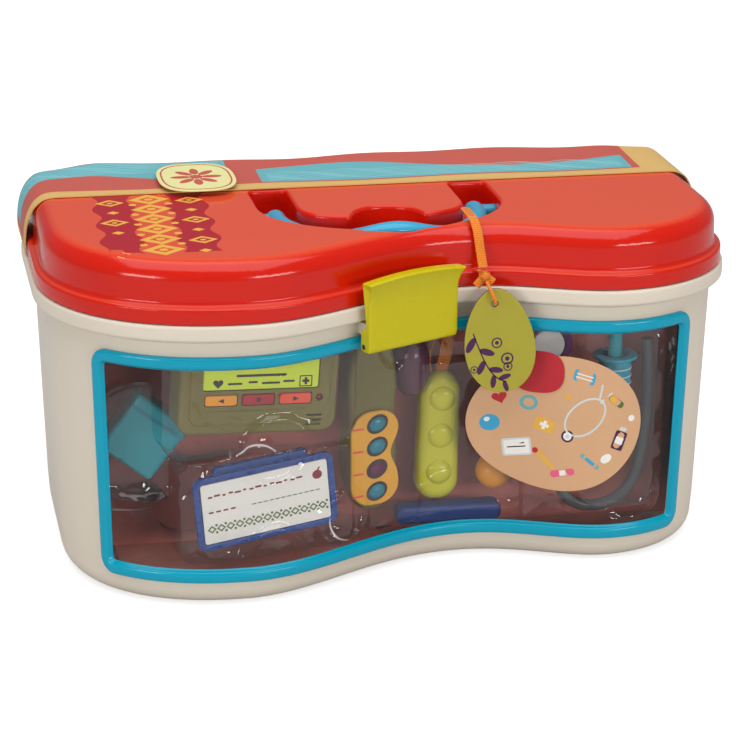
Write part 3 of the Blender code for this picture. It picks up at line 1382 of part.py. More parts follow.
def main():
    clear_scene()
    paints = {
        "ivory": finish("ivory_plastic", (0.76, 0.69, 0.60), 0.45),
        "red": finish("red_plastic", (0.60, 0.030, 0.012), 0.25),
        "cyan": finish("cyan_plastic", (0.0, 0.33, 0.48), 0.30),
        "blue": finish("sky_plastic", (0.05, 0.38, 0.68), 0.30),
        "latch": finish("lime_latch", (0.52, 0.47, 0.010), 0.35),
        "steel": finish("pin_steel", (0.60, 0.60, 0.62), 0.35, metallic=1.0),
        "clear": finish("clear_plastic", (0.90, 0.92, 0.93), 0.05, alpha=0.18),
        "maroon": finish("maroon_card", (0.20, 0.05, 0.045), 0.80),
        "kraft": finish("kraft_card", (0.66, 0.42, 0.14), 0.80),
        "sticker": finish("sticker_paper", (0.66, 0.48, 0.28), 0.60),
        "flag": finish("flag_paper", (0.50, 0.02, 0.03), 0.55),
        "tag": finish("tag_card", (0.42, 0.38, 0.08), 0.75),
        "plum": finish("plum_plastic", (0.12, 0.02, 0.12), 0.35),
        "olive": finish("olive_plastic", (0.17, 0.14, 0.03), 0.45),
        "screen": finish("lime_screen", (0.62, 0.75, 0.04), 0.30),
        "amber": finish("amber_plastic", (0.85, 0.32, 0.02), 0.40),
        "crimson": finish("crimson_plastic", (0.40, 0.01, 0.02), 0.40),
        "coral": finish("coral_plastic", (0.80, 0.08, 0.04), 0.40),
        "ruby": finish("ruby_light", (0.25, 0.01, 0.02), 0.20),
        "navy": finish("navy_plastic", (0.01, 0.04, 0.20), 0.40),
        "card": finish("white_card", (0.85, 0.82, 0.76), 0.70),
        "white": finish("white_plastic", (0.85, 0.82, 0.78), 0.40),
        "gold": finish("gold_plastic", (0.80, 0.38, 0.02), 0.35),
        "teal": finish("teal_plastic", (0.0, 0.28, 0.34), 0.25),
        "lime": finish("lime_plastic", (0.58, 0.55, 0.02), 0.30),
        "orange": finish("orange_ribbon", (0.85, 0.22, 0.02), 0.60),
        "smoke": finish("smoke_tube", (0.16, 0.17, 0.19), 0.35),
        "aqua": finish("aqua_plastic", (0.05, 0.40, 0.52), 0.20, alpha=0.7),
    }
    make_tub(paints["ivory"])
    make_frame(paints["cyan"])
    make_pane(paints["clear"])
    make_lid(paints["red"])
    make_handle(paints["blue"])
    make_latch(paints["latch"])
    make_latch_pin(paints["steel"])
    make_hinge_pin(-1, "hinge_pin_left", paints["steel"])
    make_hinge_pin(1, "hinge_pin_right", paints["steel"])
    make_sleeve(paints["kraft"])
    make_sleeve_tab(paints["kraft"])
    make_card(paints["maroon"])
    make_tray(paints["clear"])
    patch("window_sticker", STICKER_X, STICKER_Z, STICKER_HALF_W, STICKER_HALF_H,
          -PANE_DEEP + SEAT_GAP, STICKER_SQUARENESS, paints["sticker"])
    patch("sticker_flag", FLAG_X, FLAG_Z, FLAG_HALF_W, FLAG_HALF_H,
          -PANE_DEEP + 2.0 * SEAT_GAP + STICKER_THICK, FLAG_SQUARENESS, paints["flag"])
    cord("ribbon", RIBBON_POINTS, RIBBON_D, paints["orange"])
    cord("ribbon_strand", STRAND_POINTS, STRAND_D, paints["orange"])
    make_knot(paints["orange"])
    make_tag("tag_front", 0.0, paints["tag"])
    make_tag("tag_back", TAG_THICK + SEAT_GAP, paints["plum"])
    make_pager(paints)
    make_badge(paints)
    make_handset(paints)
    make_stick(paints)
    make_small_toys(paints)
    make_stethoscope(paints)
    make_syringe(paints)


main()
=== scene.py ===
"""The looks of a toy doctor case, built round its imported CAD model.

Metres, +Z up, the front faces -Y; rows inside mm(...) are in millimetres. The first
sections repeat the case's measures, because this script reads nothing but the frame. Most
pieces stand where their CAD solids stand. The pager, the block and the sticker are shifted
by a few millimetres to their places in the photograph.
"""
from bisect import bisect_left
from math import atan2, cos, pi, radians, sin, sqrt, tan

import bmesh
import bpy
import numpy as np
from mathutils import Euler, Matrix, Vector, noise
from mathutils.geometry import delaunay_2d_cdt


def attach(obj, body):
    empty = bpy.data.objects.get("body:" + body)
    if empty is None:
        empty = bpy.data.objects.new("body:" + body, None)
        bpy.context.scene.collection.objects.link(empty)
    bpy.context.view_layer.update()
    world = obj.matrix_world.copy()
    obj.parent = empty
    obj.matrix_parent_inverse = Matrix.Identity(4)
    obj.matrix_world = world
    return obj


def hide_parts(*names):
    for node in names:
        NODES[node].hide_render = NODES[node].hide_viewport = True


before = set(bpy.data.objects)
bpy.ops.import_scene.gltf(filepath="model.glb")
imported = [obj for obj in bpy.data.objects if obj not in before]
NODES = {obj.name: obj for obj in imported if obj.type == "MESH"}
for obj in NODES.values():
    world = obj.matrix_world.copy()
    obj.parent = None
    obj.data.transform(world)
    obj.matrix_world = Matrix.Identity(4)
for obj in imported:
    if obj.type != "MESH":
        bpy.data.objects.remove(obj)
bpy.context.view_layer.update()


def mm(rows):
    """Rows written in millimetres, as metres."""
    return [tuple(round(value / 1000.0, 8) for value in row) for row in rows]


def spread(low, high, count):
    """Evenly spaced values from low to high, both included."""
    return [low + (high - low) * step / count for step in range(count + 1)]


def around(sides):
    """The angles of one even turn."""
    return [2.0 * pi * step / sides for step in range(sides)]


def clamp(value):
    return min(max(value, 0.0), 1.0)


def bell(square):
    """A soft bump that fades with the square of the distance."""
    return 2.718 ** -square


def signed_power(value, power):
    return abs(value) ** power * (1 if value >= 0 else -1)


QUARTER_TURN = pi / 2.0

# Plan of the case at its rim
HALF = 0.1675
BACK_Y = 0.0955
BACK_R = 0.042
LEFT_LOBE = (-0.078, -0.0955)
WAIST = (0.034, -0.055)
RIGHT_LOBE = (0.102, -0.0733)
LEFT_TURN_Y = -0.01
RIGHT_TURN_Y = -0.008

# Heights and insets of the tub and lid
WALL_FOOT = 0.0101
WALL_TOP = 0.0058
WALL_TOP_Z = 0.1295
WALL = 0.0025
RIM_Z = 0.1394
SKIRT_Z = 0.1399
BAND_Z = 0.1466
TOP_Z = 0.1675
SIDE_IN = 0.0049
SHOULDER_R = 0.0095
LID_WALL = 0.0024
SHOULDER_Z = TOP_Z - SHOULDER_R

# Handle and its recess
PIVOT = Vector((0.0, 0.006, 0.159))
BAIL_HALF = 0.0488
BAIL_REACH = 0.0476
RECESS_HALF = 0.0585
RECESS_FRONT = 0.0465
RECESS_BACK = 0.03
FLOOR_Z = 0.1505
ISLAND_HALF = 0.0405
ISLAND_FRONT = 0.0235
NOTCH_HALF = 0.0168
NOTCH_DEEP = 0.0165
SCOOP = (-0.0027, 0.0225, 0.04, 0.0506)
EDGE_R = 0.0021

# Latch
LATCH_YAW = radians(25.0)
LATCH_AT = (0.0007, -0.06755)
LATCH_Z = 0.1208
LATCH_HALF = 0.0254

# Window
WINDOW_LOW = 0.0125
WINDOW_HIGH = 0.1235
CARD_HALF = 0.148

# The ribbon's route, from the handle over the lid's edge to the knot
RIBBON_POINTS = mm([
    (36.2, -26.2, 169.7), (36.1, -30.0, 170.0), (36.0, -34.5, 170.0), (36.0, -39.5, 170.0),
    (36.1, -43.7, 169.7), (36.3, -47.9, 168.1), (36.6, -51.1, 165.2), (36.9, -53.2, 161.3),
    (37.3, -54.6, 157.0), (37.7, -56.2, 153.0), (38.0, -57.8, 149.7)])
KNOT = (0.0385, -0.0592, 0.1462)
STRAND_POINTS = mm([
    (38.8, -62.2, 144.0), (39.3, -64.0, 142.7), (40.0, -66.4, 140.8), (40.8, -68.1, 138.6),
    (41.6, -68.5, 136.3), (42.1, -67.4, 134.8), (42.2, -65.5, 134.2)])
TUBE_POINTS = mm([
    (74.1, -38.0, 92.4), (74.3, -37.3, 86.5), (74.8, -36.6, 80.0), (76.2, -36.2, 68.0),
    (78.2, -36.0, 56.0), (80.4, -35.8, 44.0), (83.0, -35.6, 33.0), (87.2, -35.4, 24.5),
    (94.0, -35.2, 19.5), (102.0, -35.0, 18.2), (110.0, -35.0, 19.6), (117.0, -35.2, 24.6),
    (122.0, -35.5, 33.0), (124.6, -36.0, 44.0), (125.8, -36.5, 56.0), (126.2, -37.0, 68.0),
    (126.2, -37.4, 80.0), (125.8, -37.8, 92.0), (125.0, -38.0, 104.0)])
LACE_POINTS = mm([
    (25.0, -29.2, 87.1), (25.6, -29.6, 93.0), (26.8, -30.0, 98.0), (27.6, -30.2, 103.0),
    (28.2, -30.2, 108.0), (29.0, -30.0, 113.0)])


# ---- shapes

class Shape:
    """Points and faces of one or more closed skins, gathered before a piece is made."""

    def __init__(self):
        self.points = []
        self.faces = []

    def add(self, points, faces):
        base = len(self.points)
        self.points += [Vector(point) for point in points]
        self.faces += [tuple(base + number for number in face) for face in faces]
        return self

    def loft(self, rings, close=False, caps=(True, True)):
        """Skin rings of points; the ends are capped unless the rings close."""
        count = len(rings[0])
        points = [point for ring in rings for point in ring]
        faces = []
        for row in range(len(rings) if close else len(rings) - 1):
            here = row * count
            there = ((row + 1) % len(rings)) * count
            for step in range(count):
                after = (step + 1) % count
                faces.append((here + step, here + after, there + after, there + step))
        if not close and caps[0]:
            faces.append(tuple(reversed(range(count))))
        if not close and caps[1]:
            faces.append(tuple(range(len(points) - count, len(points))))
        return self.add(points, faces)

    def slab(self, outline, front, back):
        """Extrude an outline of (x, z) along Y."""
        return self.loft([[(x, y, z) for x, z in outline] for y in (front, back)])

    def rod(self, start, end, radius, sides=24, chamfer=0.0):
        """A straight round bar with an eased edge at each end."""
        start = Vector(start)
        end = Vector(end)
        along = (end - start).normalized()
        aim = along.to_track_quat("Z", "Y")
        ends = [(0.0, radius - chamfer), (chamfer, radius)] if chamfer else [(0.0, radius)]
        rings = []
        for middle, way, marks in ((start, along, ends), (end, -along, ends[::-1])):
            for shift, reach in marks:
                rings.append([middle + way * shift + aim @ Vector((
                    reach * cos(turn), reach * sin(turn), 0)) for turn in around(sides)])
        return self.loft(rings)

    def turned(self, profile, sides=32):
        """Turn a profile of (radius, height) about Z."""
        return self.loft([[(radius * cos(turn), radius * sin(turn), height)
                           for turn in around(sides)] for radius, height in profile])

    def moved(self, place=(0, 0, 0), turn=(0, 0, 0)):
        matrix = Matrix.LocRotScale(Vector(place), Euler(turn), None)
        self.points = [matrix @ point for point in self.points]
        return self

    def join(self, other):
        return self.add(other.points, other.faces)

    def item(self, name):
        mesh = bpy.data.meshes.new(name)
        mesh.from_pydata([tuple(point) for point in self.points], [], self.faces)
        skin = bmesh.new()
        skin.from_mesh(mesh)
        bmesh.ops.remove_doubles(skin, verts=skin.verts, dist=1e-7)
        bmesh.ops.recalc_face_normals(skin, faces=skin.faces)
        skin.to_mesh(mesh)
        skin.free()
        made = bpy.data.objects.new(name, mesh)
        bpy.context.scene.collection.objects.link(made)
        return made


def settle(item):
    """Turn an object's modifiers into its mesh."""
    view = bpy.context.evaluated_depsgraph_get()
    mesh = bpy.data.meshes.new_from_object(item.evaluated_get(view))
    item.modifiers.clear()
    item.data = mesh
    return item


def carve(item, tool, operation="DIFFERENCE"):
    """Apply one Boolean and take its tool away."""
    step = item.modifiers.new("carve", "BOOLEAN")
    step.operation = operation
    step.solver = "EXACT"
    step.object = tool
    settle(item)
    bpy.data.objects.remove(tool)
    return item


def ease(item, width, steps, angle=30.0):
    """Round an object's edges."""
    step = item.modifiers.new("ease", "BEVEL")
    step.width = width
    step.segments = steps
    step.limit_method = "ANGLE"
    step.angle_limit = radians(angle)
    step.use_clamp_overlap = True
    settle(item)


def merge(item, other):
    """Add another object's skin to an item's mesh and take that object away."""
    skin = bmesh.new()
    skin.from_mesh(item.data)
    skin.from_mesh(other.data)
    skin.to_mesh(item.data)
    skin.free()
    bpy.data.objects.remove(other)


def piece(name, shape, paint, body, stands_for=(), bevel=0.0, steps=3,
          angle=35.0, cuts=(), even_light=True):
    """One finished piece that rides on a body and may stand for a CAD node."""
    item = shape.item(name) if isinstance(shape, Shape) else shape
    for number, cut in enumerate(cuts):
        carve(item, cut.item(name + "_cut_" + str(number)))
    if bevel:
        ease(item, bevel, steps)
    item.data.materials.clear()
    item.data.materials.append(PAINT[paint])
    item.data.shade_smooth()
    item.data.set_sharp_from_angle(angle=radians(angle))
    if even_light:
        step = item.modifiers.new("even_light", "WEIGHTED_NORMAL")
        step.keep_sharp = True
        settle(item)
    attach(item, body)
    if stands_for:
        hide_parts(*stands_for)
    return item


def lengths(points, closed=False):
    """The run along a line of points."""
    line = list(points) + ([points[0]] if closed else [])
    run = [0.0]
    for first, second in zip(line, line[1:]):
        run.append(run[-1] + (Vector(second) - Vector(first)).length)
    return run


def even(points, count, closed=False):
    """The same line with evenly spaced points."""
    line = [Vector(point) for point in points] + ([Vector(points[0])] if closed else [])
    run = lengths(line)
    result = []
    for step in range(count):
        mark = run[-1] * step / (count if closed else count - 1)
        place = min(max(bisect_left(run, mark), 1), len(run) - 1)
        span = run[place] - run[place - 1]
        result.append(line[place - 1].lerp(line[place], (mark - run[place - 1]) / span))
    return result


def relax(points, times, closed=False):
    """Ease the corners of a line; open ends stay."""
    line = [Vector(point) for point in points]
    for _ in range(times):
        soft = [(line[step - 1] + line[step] * 2.0 + line[(step + 1) % len(line)]) / 4.0
                for step in range(len(line))]
        if not closed:
            soft[0], soft[-1] = line[0], line[-1]
        line = soft
    return line


def flow(points, count):
    """A smooth curve through points, evenly spaced."""
    line = [Vector(point) for point in points]
    line = [line[0] * 2.0 - line[1]] + line + [line[-1] * 2.0 - line[-2]]
    dense = []
    for a, b, c, d in zip(line, line[1:], line[2:], line[3:]):
        for step in range(12):
            t = step / 12.0
            dense.append(0.5 * (2.0 * b + (c - a) * t + (2.0 * a - 5.0 * b + 4.0 * c - d) * t * t
                                + (3.0 * b - a - 3.0 * c + d) * t ** 3))
    return even(dense + [line[-2]], count)


def outward(points, closed=True):
    """The outward direction at each point of an anticlockwise outline."""
    result = []
    count = len(points)
    for step in range(count):
        before = points[(step - 1) % count] if closed or step else points[0]
        after = points[(step + 1) % count] if closed or step < count - 1 else points[-1]
        along = (Vector(after) - Vector(before)).normalized()
        result.append(Vector((along.y, -along.x)))
    return result


def oval(half_x, half_y, sides=48, squareness=2.0):
    power = 2.0 / squareness
    return [(half_x * signed_power(cos(turn), power), half_y * signed_power(sin(turn), power))
            for turn in around(sides)]


def round_box(half_x, half_y, corner, steps=8):
    outline = []
    for number, (side_x, side_y) in enumerate(((1, 1), (-1, 1), (-1, -1), (1, -1))):
        for step in range(steps + 1):
            turn = pi / 2.0 * (number + step / steps)
            outline.append((side_x * (half_x - corner) + corner * cos(turn),
                            side_y * (half_y - corner) + corner * sin(turn)))
    return outline


def quarter(centre, reach, squareness, start, end, steps):
    power = 2.0 / squareness
    return [(centre[0] + reach[0] * signed_power(cos(turn), power),
             centre[1] + reach[1] * signed_power(sin(turn), power))
            for turn in spread(start, end, steps)[:-1]]


def wave(start, end, steps):
    return [(start[0] + (end[0] - start[0]) * step / steps,
             start[1] + (end[1] - start[1]) * (1.0 - cos(pi * step / steps)) / 2.0)
            for step in range(steps)]


def front_edge():
    """The front of the plan, from the left side to the right side."""
    left = quarter((LEFT_LOBE[0], LEFT_TURN_Y),
                   (HALF + LEFT_LOBE[0], LEFT_TURN_Y - LEFT_LOBE[1]), 2.2, pi, 1.5 * pi, 64)
    right = quarter((RIGHT_LOBE[0], RIGHT_TURN_Y),
                    (HALF - RIGHT_LOBE[0], RIGHT_TURN_Y - RIGHT_LOBE[1]), 2.0,
                    1.5 * pi, 2.0 * pi, 64)
    return (left + wave(LEFT_LOBE, WAIST, 80) + wave(WAIST, RIGHT_LOBE, 80) + right
            + [(HALF, RIGHT_TURN_Y)])


def plan():
    """The whole rim outline, anticlockwise from the left side."""
    points = front_edge()
    for side, start in ((1, 0.0), (-1, pi / 2.0)):
        for turn in spread(start, start + QUARTER_TURN, 24):
            points.append((side * (HALF - BACK_R) + BACK_R * cos(turn),
                           BACK_Y - BACK_R + BACK_R * sin(turn)))
    return points


PLAN = even(plan(), 440, closed=True)
PLAN_OUT = outward(PLAN)
FRONT = even(front_edge(), 320)
FRONT_OUT = outward(FRONT, closed=False)
FRONT_RUN = lengths(FRONT)
PLAN_A = np.array([tuple(point) for point in PLAN])
PLAN_AB = np.roll(PLAN_A, -1, 0) - PLAN_A


def ring(inset, height):
    """The plan drawn in by inset, at a height."""
    return [Vector((p.x - inset * n.x, p.y - inset * n.y, height)) for p, n in zip(PLAN, PLAN_OUT)]


def inset_of(x, y):
    """How far a place lies inside the rim outline."""
    way = np.array((x, y)) - PLAN_A
    share = np.clip((way * PLAN_AB).sum(1) / (PLAN_AB ** 2).sum(1), 0.0, 1.0)
    return float(np.sqrt(((way - PLAN_AB * share[:, None]) ** 2).sum(1).min()))


def crown(inset):
    """The lid's outer height at a distance in from the rim."""
    share = clamp((SIDE_IN + SHOULDER_R - inset) / SHOULDER_R)
    return SHOULDER_Z + SHOULDER_R * sqrt(1.0 - share * share)


def lid_top(x, y, lift=0.0):
    return Vector((x, y, crown(inset_of(x, y)) + lift))


def wall_inset(height):
    return WALL_FOOT + (WALL_TOP - WALL_FOOT) * height / WALL_TOP_Z


def at_run(run, runs, line, ways):
    """The place at a run along a line, and the outward way there."""
    step = min(max(bisect_left(runs, run), 1), len(runs) - 1)
    share = (run - runs[step - 1]) / (runs[step] - runs[step - 1])
    return (line[step - 1].lerp(line[step], share),
            ways[step - 1].lerp(ways[step], share).normalized())


def wall_point(run, height, out=0.0):
    """A point on the tub's front wall: run along the rim, height, and distance out."""
    base, way = at_run(run, FRONT_RUN, FRONT, FRONT_OUT)
    place = base + way * (out - wall_inset(height))
    return Vector((place.x, place.y, height))


def run_at(x, height):
    low = 0.0
    high = FRONT_RUN[-1]
    for _ in range(40):
        middle = (low + high) / 2.0
        if wall_point(middle, height).x < x:
            low = middle
        else:
            high = middle
    return (low + high) / 2.0


WINDOW_MID = (WINDOW_LOW + WINDOW_HIGH) / 2.0
WINDOW_START = run_at(-0.1428, WINDOW_MID)
WINDOW_END = run_at(0.1385, WINDOW_MID)


def window_loop(shrink, corner, columns=130, rows=30, bend=10):
    """The window's outline in (run, height), with the direction out of the window."""
    left, right = WINDOW_START + shrink, WINDOW_END - shrink
    low, high = WINDOW_LOW + shrink, WINDOW_HIGH - shrink
    marks = []
    corners = ((right, high, 0.0), (left, high, pi / 2), (left, low, pi), (right, low, 1.5 * pi))
    for number, (run, height, start) in enumerate(corners):
        way_x = -1 if run == right else 1
        way_z = -1 if height == high else 1
        for step in range(bend + 1):
            turn = start + pi / 2.0 * step / bend
            marks.append((run + corner * (way_x + cos(turn)), height + corner * (way_z + sin(turn)),
                          cos(turn), sin(turn)))
        here = marks[-1]
        count = rows if number % 2 else columns
        ends = ((left + corner, high), (left, low + corner), (right - corner, low),
                (right, high - corner))[number]
        for step in range(1, count):
            share = step / count
            marks.append((here[0] + (ends[0] - here[0]) * share,
                          here[1] + (ends[1] - here[1]) * share, here[2], here[3]))
    return marks


def window_plug(shrink, deep, proud, columns=130):
    """A solid that fills the window from a depth behind the wall to proud of it."""
    corner = max(0.0085 - shrink, 0.001)
    rows, bend = 30, 10
    loop = window_loop(shrink, corner, columns, rows, bend)
    shape = Shape()
    count = len(loop)
    top = list(range(bend, bend + columns + 1))
    left = list(range(top[-1], top[-1] + bend * 2 + rows + 1))
    bottom = list(range(left[-1], left[-1] + columns + 1))
    right = list(range(bottom[-1], count)) + list(range(0, bend + 1))
    skin = [tuple(left), tuple(right)]
    for step in range(columns):
        skin.append((top[step], top[step + 1], bottom[columns - step - 1], bottom[columns - step]))
    faces = list(skin) + [tuple(count + n for n in reversed(face)) for face in skin]
    for step in range(count):
        after = (step + 1) % count
        faces.append((step, step + count, after + count, after))
    return shape.add([wall_point(run, height, out) for out in (proud, deep)
                      for run, height, _, _ in loop], faces)


# ---- materials

def put(tree, socket, value):
    if isinstance(value, bpy.types.NodeSocket):
        tree.links.new(value, socket)
    elif isinstance(value, tuple) and len(value) == 3 and len(socket.default_value) == 4:
        socket.default_value = (*value, 1.0)
    else:
        socket.default_value = value


def node(tree, kind, inputs=None, output=0, **settings):
    """Add a shader node, set or link its inputs and return one of its outputs."""
    made = tree.nodes.new("ShaderNode" + kind)
    for key, value in settings.items():
        setattr(made, key, value)
    for key, value in (inputs or {}).items():
        put(tree, made.inputs[key], value)
    return made.outputs[output]


def maths(tree, operation, first, second=0.0):
    return node(tree, "Math", {0: first, 1: second}, operation=operation)


def blend_colour(tree, share, first, second, mode="MIX"):
    return node(tree, "Mix", {0: share, 6: first, 7: second}, output=2,
                data_type="RGBA", blend_type=mode)


def noise_of(tree, where, scale, detail=3.0):
    return node(tree, "TexNoise", {"Vector": where, "Scale": scale, "Detail": detail})


def ramp(tree, value, low, high):
    return node(tree, "MapRange", {"Value": value, "From Min": low, "From Max": high})


def new_paint(name):
    paint = bpy.data.materials.new(name)
    paint.use_nodes = True
    tree = paint.node_tree
    shader = tree.nodes["Principled BSDF"]
    where = node(tree, "TexCoord", output=3)
    return paint, tree, shader, where


def surface(tree, shader, where, colour, roughness, mottle=0.03, patch=30.0, grain=1100.0,
            relief=0.00003, rough_span=0.06):
    """Colour with soft mottling, a roughness that varies, and a fine moulded grain."""
    cloud = noise_of(tree, where, patch, 4.0)
    if isinstance(colour, tuple):
        dark = tuple(part * (1.0 - mottle) for part in colour)
        light = tuple(min(part * (1.0 + mottle), 1.0) for part in colour)
        colour = blend_colour(tree, cloud, dark, light)
    else:
        shade = maths(tree, "MULTIPLY_ADD", cloud, mottle * 2.0)
        shade.node.inputs[2].default_value = 1.0 - mottle
        colour = blend_colour(tree, 1.0, colour, shade, "MULTIPLY")
    put(tree, shader.inputs["Base Color"], colour)
    fine = noise_of(tree, where, grain, 2.0)
    rough = node(tree, "MapRange", {"Value": noise_of(tree, where, patch * 7.0, 3.0),
                                    "To Min": roughness - rough_span,
                                    "To Max": roughness + rough_span})
    put(tree, shader.inputs["Roughness"], rough)
    bump = node(tree, "Bump", {"Height": fine, "Distance": relief, "Strength": 0.6})
    put(tree, shader.inputs["Normal"], bump)


def plastic(name, red, green, blue, roughness, mottle=0.03, **detail):
    paint, tree, shader, where = new_paint(name)
    surface(tree, shader, where, (red, green, blue), roughness, mottle, **detail)
    shader.inputs["IOR"].default_value = 1.5
    shader.inputs["Specular IOR Level"].default_value = 0.35
    return paint


def clear(name, tint, alpha, roughness=0.05, strength=1.0):
    """A thin clear sheet: see-through, with a full reflection laid over it."""
    paint, tree, shader, where = new_paint(name)
    surface(tree, shader, where, tint, roughness, mottle=0.02, relief=0.00002,
            rough_span=0.02, grain=120.0)
    shader.inputs["Alpha"].default_value = alpha
    gloss = node(tree, "BsdfAnisotropic", {"Color": (1.0, 1.0, 1.0), "Roughness": roughness})
    outer = maths(tree, "SUBTRACT", 1.0, node(tree, "NewGeometry", output=6))
    edge = maths(tree, "MINIMUM", node(tree, "Fresnel", {"IOR": 1.5}), 0.055)
    edge = maths(tree, "MULTIPLY", edge, maths(tree, "MULTIPLY", outer, strength))
    both = node(tree, "MixShader", {0: edge, 1: shader.outputs[0], 2: gloss})
    put(tree, tree.nodes["Material Output"].inputs["Surface"], both)
    return paint


def woven(name, colour, pitch):
    """Cloth with crossing threads, worked out from the place alone."""
    paint, tree, shader, where = new_paint(name)
    across = node(tree, "TexWave", {"Vector": where, "Scale": pitch, "Distortion": 0.6},
                  bands_direction="DIAGONAL")
    along = node(tree, "TexWave", {"Vector": where, "Scale": pitch, "Distortion": 0.6},
                 output=1, bands_direction="Z")
    weave = maths(tree, "MULTIPLY", across, along)
    dark = tuple(part * 0.6 for part in colour)
    put(tree, shader.inputs["Base Color"],
        blend_colour(tree, ramp(tree, weave, 0.1, 0.5), dark, colour))
    shader.inputs["Sheen Weight"].default_value = 0.08
    put(tree, shader.inputs["Roughness"], node(tree, "MapRange", {
        "Value": weave, "To Min": 0.85, "To Max": 0.6}))
    put(tree, shader.inputs["Normal"],
        node(tree, "Bump", {"Height": weave, "Distance": 0.00025, "Strength": 0.8}))
    return paint


def paper(name, red, green, blue, roughness, mottle=0.05, patch=90.0):
    return plastic(name, red, green, blue, roughness, mottle, patch=patch, grain=2200.0,
                   relief=0.00004)


def lid_red():
    """The lid's red, with painted reflection: its up-facing flat top is painted a paler salmon,
    standing for the pale backdrop it mirrors, while its glossy sides keep a deeper red.
    """
    paint, tree, shader, where = new_paint("red_plastic")
    up_for_painted_reflection = node(tree, "SeparateXYZ", {"Vector": node(tree, "TexCoord", output=1)}, output=2)
    # Painted reflection: the colour turns to the paler salmon where the surface faces up.
    colour = blend_colour(tree, ramp(tree, up_for_painted_reflection, 0.8, 0.99), (0.6, 0.01, 0.002),
                          (0.72, 0.075, 0.028))
    surface(tree, shader, where, colour, 0.15, mottle=0.02)
    shader.inputs["Specular IOR Level"].default_value = 0.4
    return paint


# Red, green, blue, roughness and, where it isn't the usual one, mottling
PLASTICS = {
    "ivory": (0.71, 0.625, 0.515, 0.34, 0.012), "cyan": (0.0, 0.33, 0.48, 0.16),
    "blue": (0.045, 0.36, 0.58, 0.16), "latch": (0.55, 0.475, 0.001, 0.26),
    "steel": (0.6, 0.6, 0.62, 0.35, 0.05), "plum": (0.12, 0.02, 0.12, 0.25),
    "olive": (0.17, 0.14, 0.03, 0.32, 0.05), "screen": (0.62, 0.75, 0.04, 0.2),
    "amber": (0.85, 0.32, 0.02, 0.3), "crimson": (0.4, 0.01, 0.02, 0.3),
    "coral": (0.8, 0.08, 0.04, 0.3), "ruby": (0.25, 0.01, 0.02, 0.12),
    "navy": (0.01, 0.04, 0.2, 0.3), "white": (0.85, 0.82, 0.78, 0.3),
    "gold": (0.8, 0.38, 0.02, 0.25), "teal": (0.0, 0.28, 0.34, 0.15),
    "lime": (0.58, 0.55, 0.02, 0.2), "badge_blue": (0.012, 0.055, 0.26, 0.28),
    "gem_teal": (0.0, 0.2, 0.27, 0.08), "gem_plum": (0.1, 0.005, 0.05, 0.08),
    # pin_painted_shade: a dark olive put on the latch pin as painted shade, for the shaded eye it
    # sits in.
    "plum_soft": (0.085, 0.018, 0.045, 0.22), "pin_painted_shade": (0.03, 0.05, 0.02, 0.4),
    "bead": (0.62, 0.66, 0.66, 0.2), "smoke": (0.09, 0.095, 0.105, 0.25),
    "aqua": (0.015, 0.34, 0.47, 0.15)}
# The same, then the scale of the mottling's noise
PAPERS = {
    # flap: the card's maroon made paler and pinker, as painted light on the card's foot.
    "flap": (0.72, 0.27, 0.22, 0.5, 0.5, 40.0), "maroon": (0.5, 0.14, 0.115, 0.5, 0.6, 26.0),
    "kraft": (0.66, 0.42, 0.14, 0.5), "sticker": (0.66, 0.38, 0.205, 0.45),
    "flag": (0.5, 0.02, 0.03, 0.45), "tag": (0.38, 0.33, 0.03, 0.55),
    "card": (0.85, 0.82, 0.76, 0.55, 0.015), "teal_print": (0.13, 0.41, 0.46, 0.5),
    "sleeve_line": (0.3, 0.58, 0.6, 0.5), "plate": (0.74, 0.71, 0.33, 0.5),
    "rose_print": (0.52, 0.1, 0.075, 0.5), "yellow_print": (0.78, 0.42, 0.06, 0.4),
    # dark_print: the dark of the printed marks, and the painted shade round the handset's gems.
    "berry_print": (0.42, 0.006, 0.02, 0.35), "dark_print": (0.03, 0.012, 0.02, 0.5),
    "purple_print": (0.07, 0.012, 0.07, 0.5), "green_print": (0.1, 0.16, 0.03, 0.5),
    "pink_print": (0.75, 0.12, 0.22, 0.5), "sky_print": (0.05, 0.36, 0.6, 0.5),
    "berry_dark": (0.26, 0.01, 0.03, 0.5)}
PAINT = {name: plastic(name, *row) for name, row in PLASTICS.items()}
PAINT.update({name: paper(name, *row) for name, row in PAPERS.items()})
PAINT["red"] = lid_red()
PAINT["orange"] = woven("orange_ribbon", (1.0, 0.27, 0.012), 420.0)
PAINT["pane"] = clear("clear_pane", (0.5, 0.5, 0.5), 0.01, 0.04, 0.2)
PAINT["tray"] = clear("clear_tray", (0.5, 0.42, 0.42), 0.012, 0.035, 1.3)
# Painted highlight: the pale, half-opaque film of the arcs that stand for the tray's glints.
PAINT["crease_and_painted_glint"] = clear("painted_glint_arcs", (0.8, 0.76, 0.76), 0.45)
PAINT["steel"].node_tree.nodes["Principled BSDF"].inputs["Metallic"].default_value = 1.0


# ---- camera and ribbon

CAMERA_PLACE = Vector((-0.24949, -1.23506, 0.51244))
CAMERA_AIM = Vector((-0.00263, 0.0, 0.08132))
CAMERA_ROLL = 0.00841
CAMERA_LENS = 131.68
SENSOR_WIDTH = 36.0


def make_camera():
    data = bpy.data.cameras.new("photo_camera")
    data.lens = CAMERA_LENS
    data.sensor_width = SENSOR_WIDTH
    data.clip_start = 0.05
    data.clip_end = 20.0
    camera = bpy.data.objects.new("photo_camera", data)
    bpy.context.scene.collection.objects.link(camera)
    camera.location = CAMERA_PLACE
    camera.rotation_mode = "QUATERNION"
    camera.rotation_quaternion = ((CAMERA_AIM - CAMERA_PLACE).to_track_quat("-Z", "Y")
                                  @ Euler((0.0, 0.0, CAMERA_ROLL)).to_quaternion())
    bpy.context.scene.camera = camera


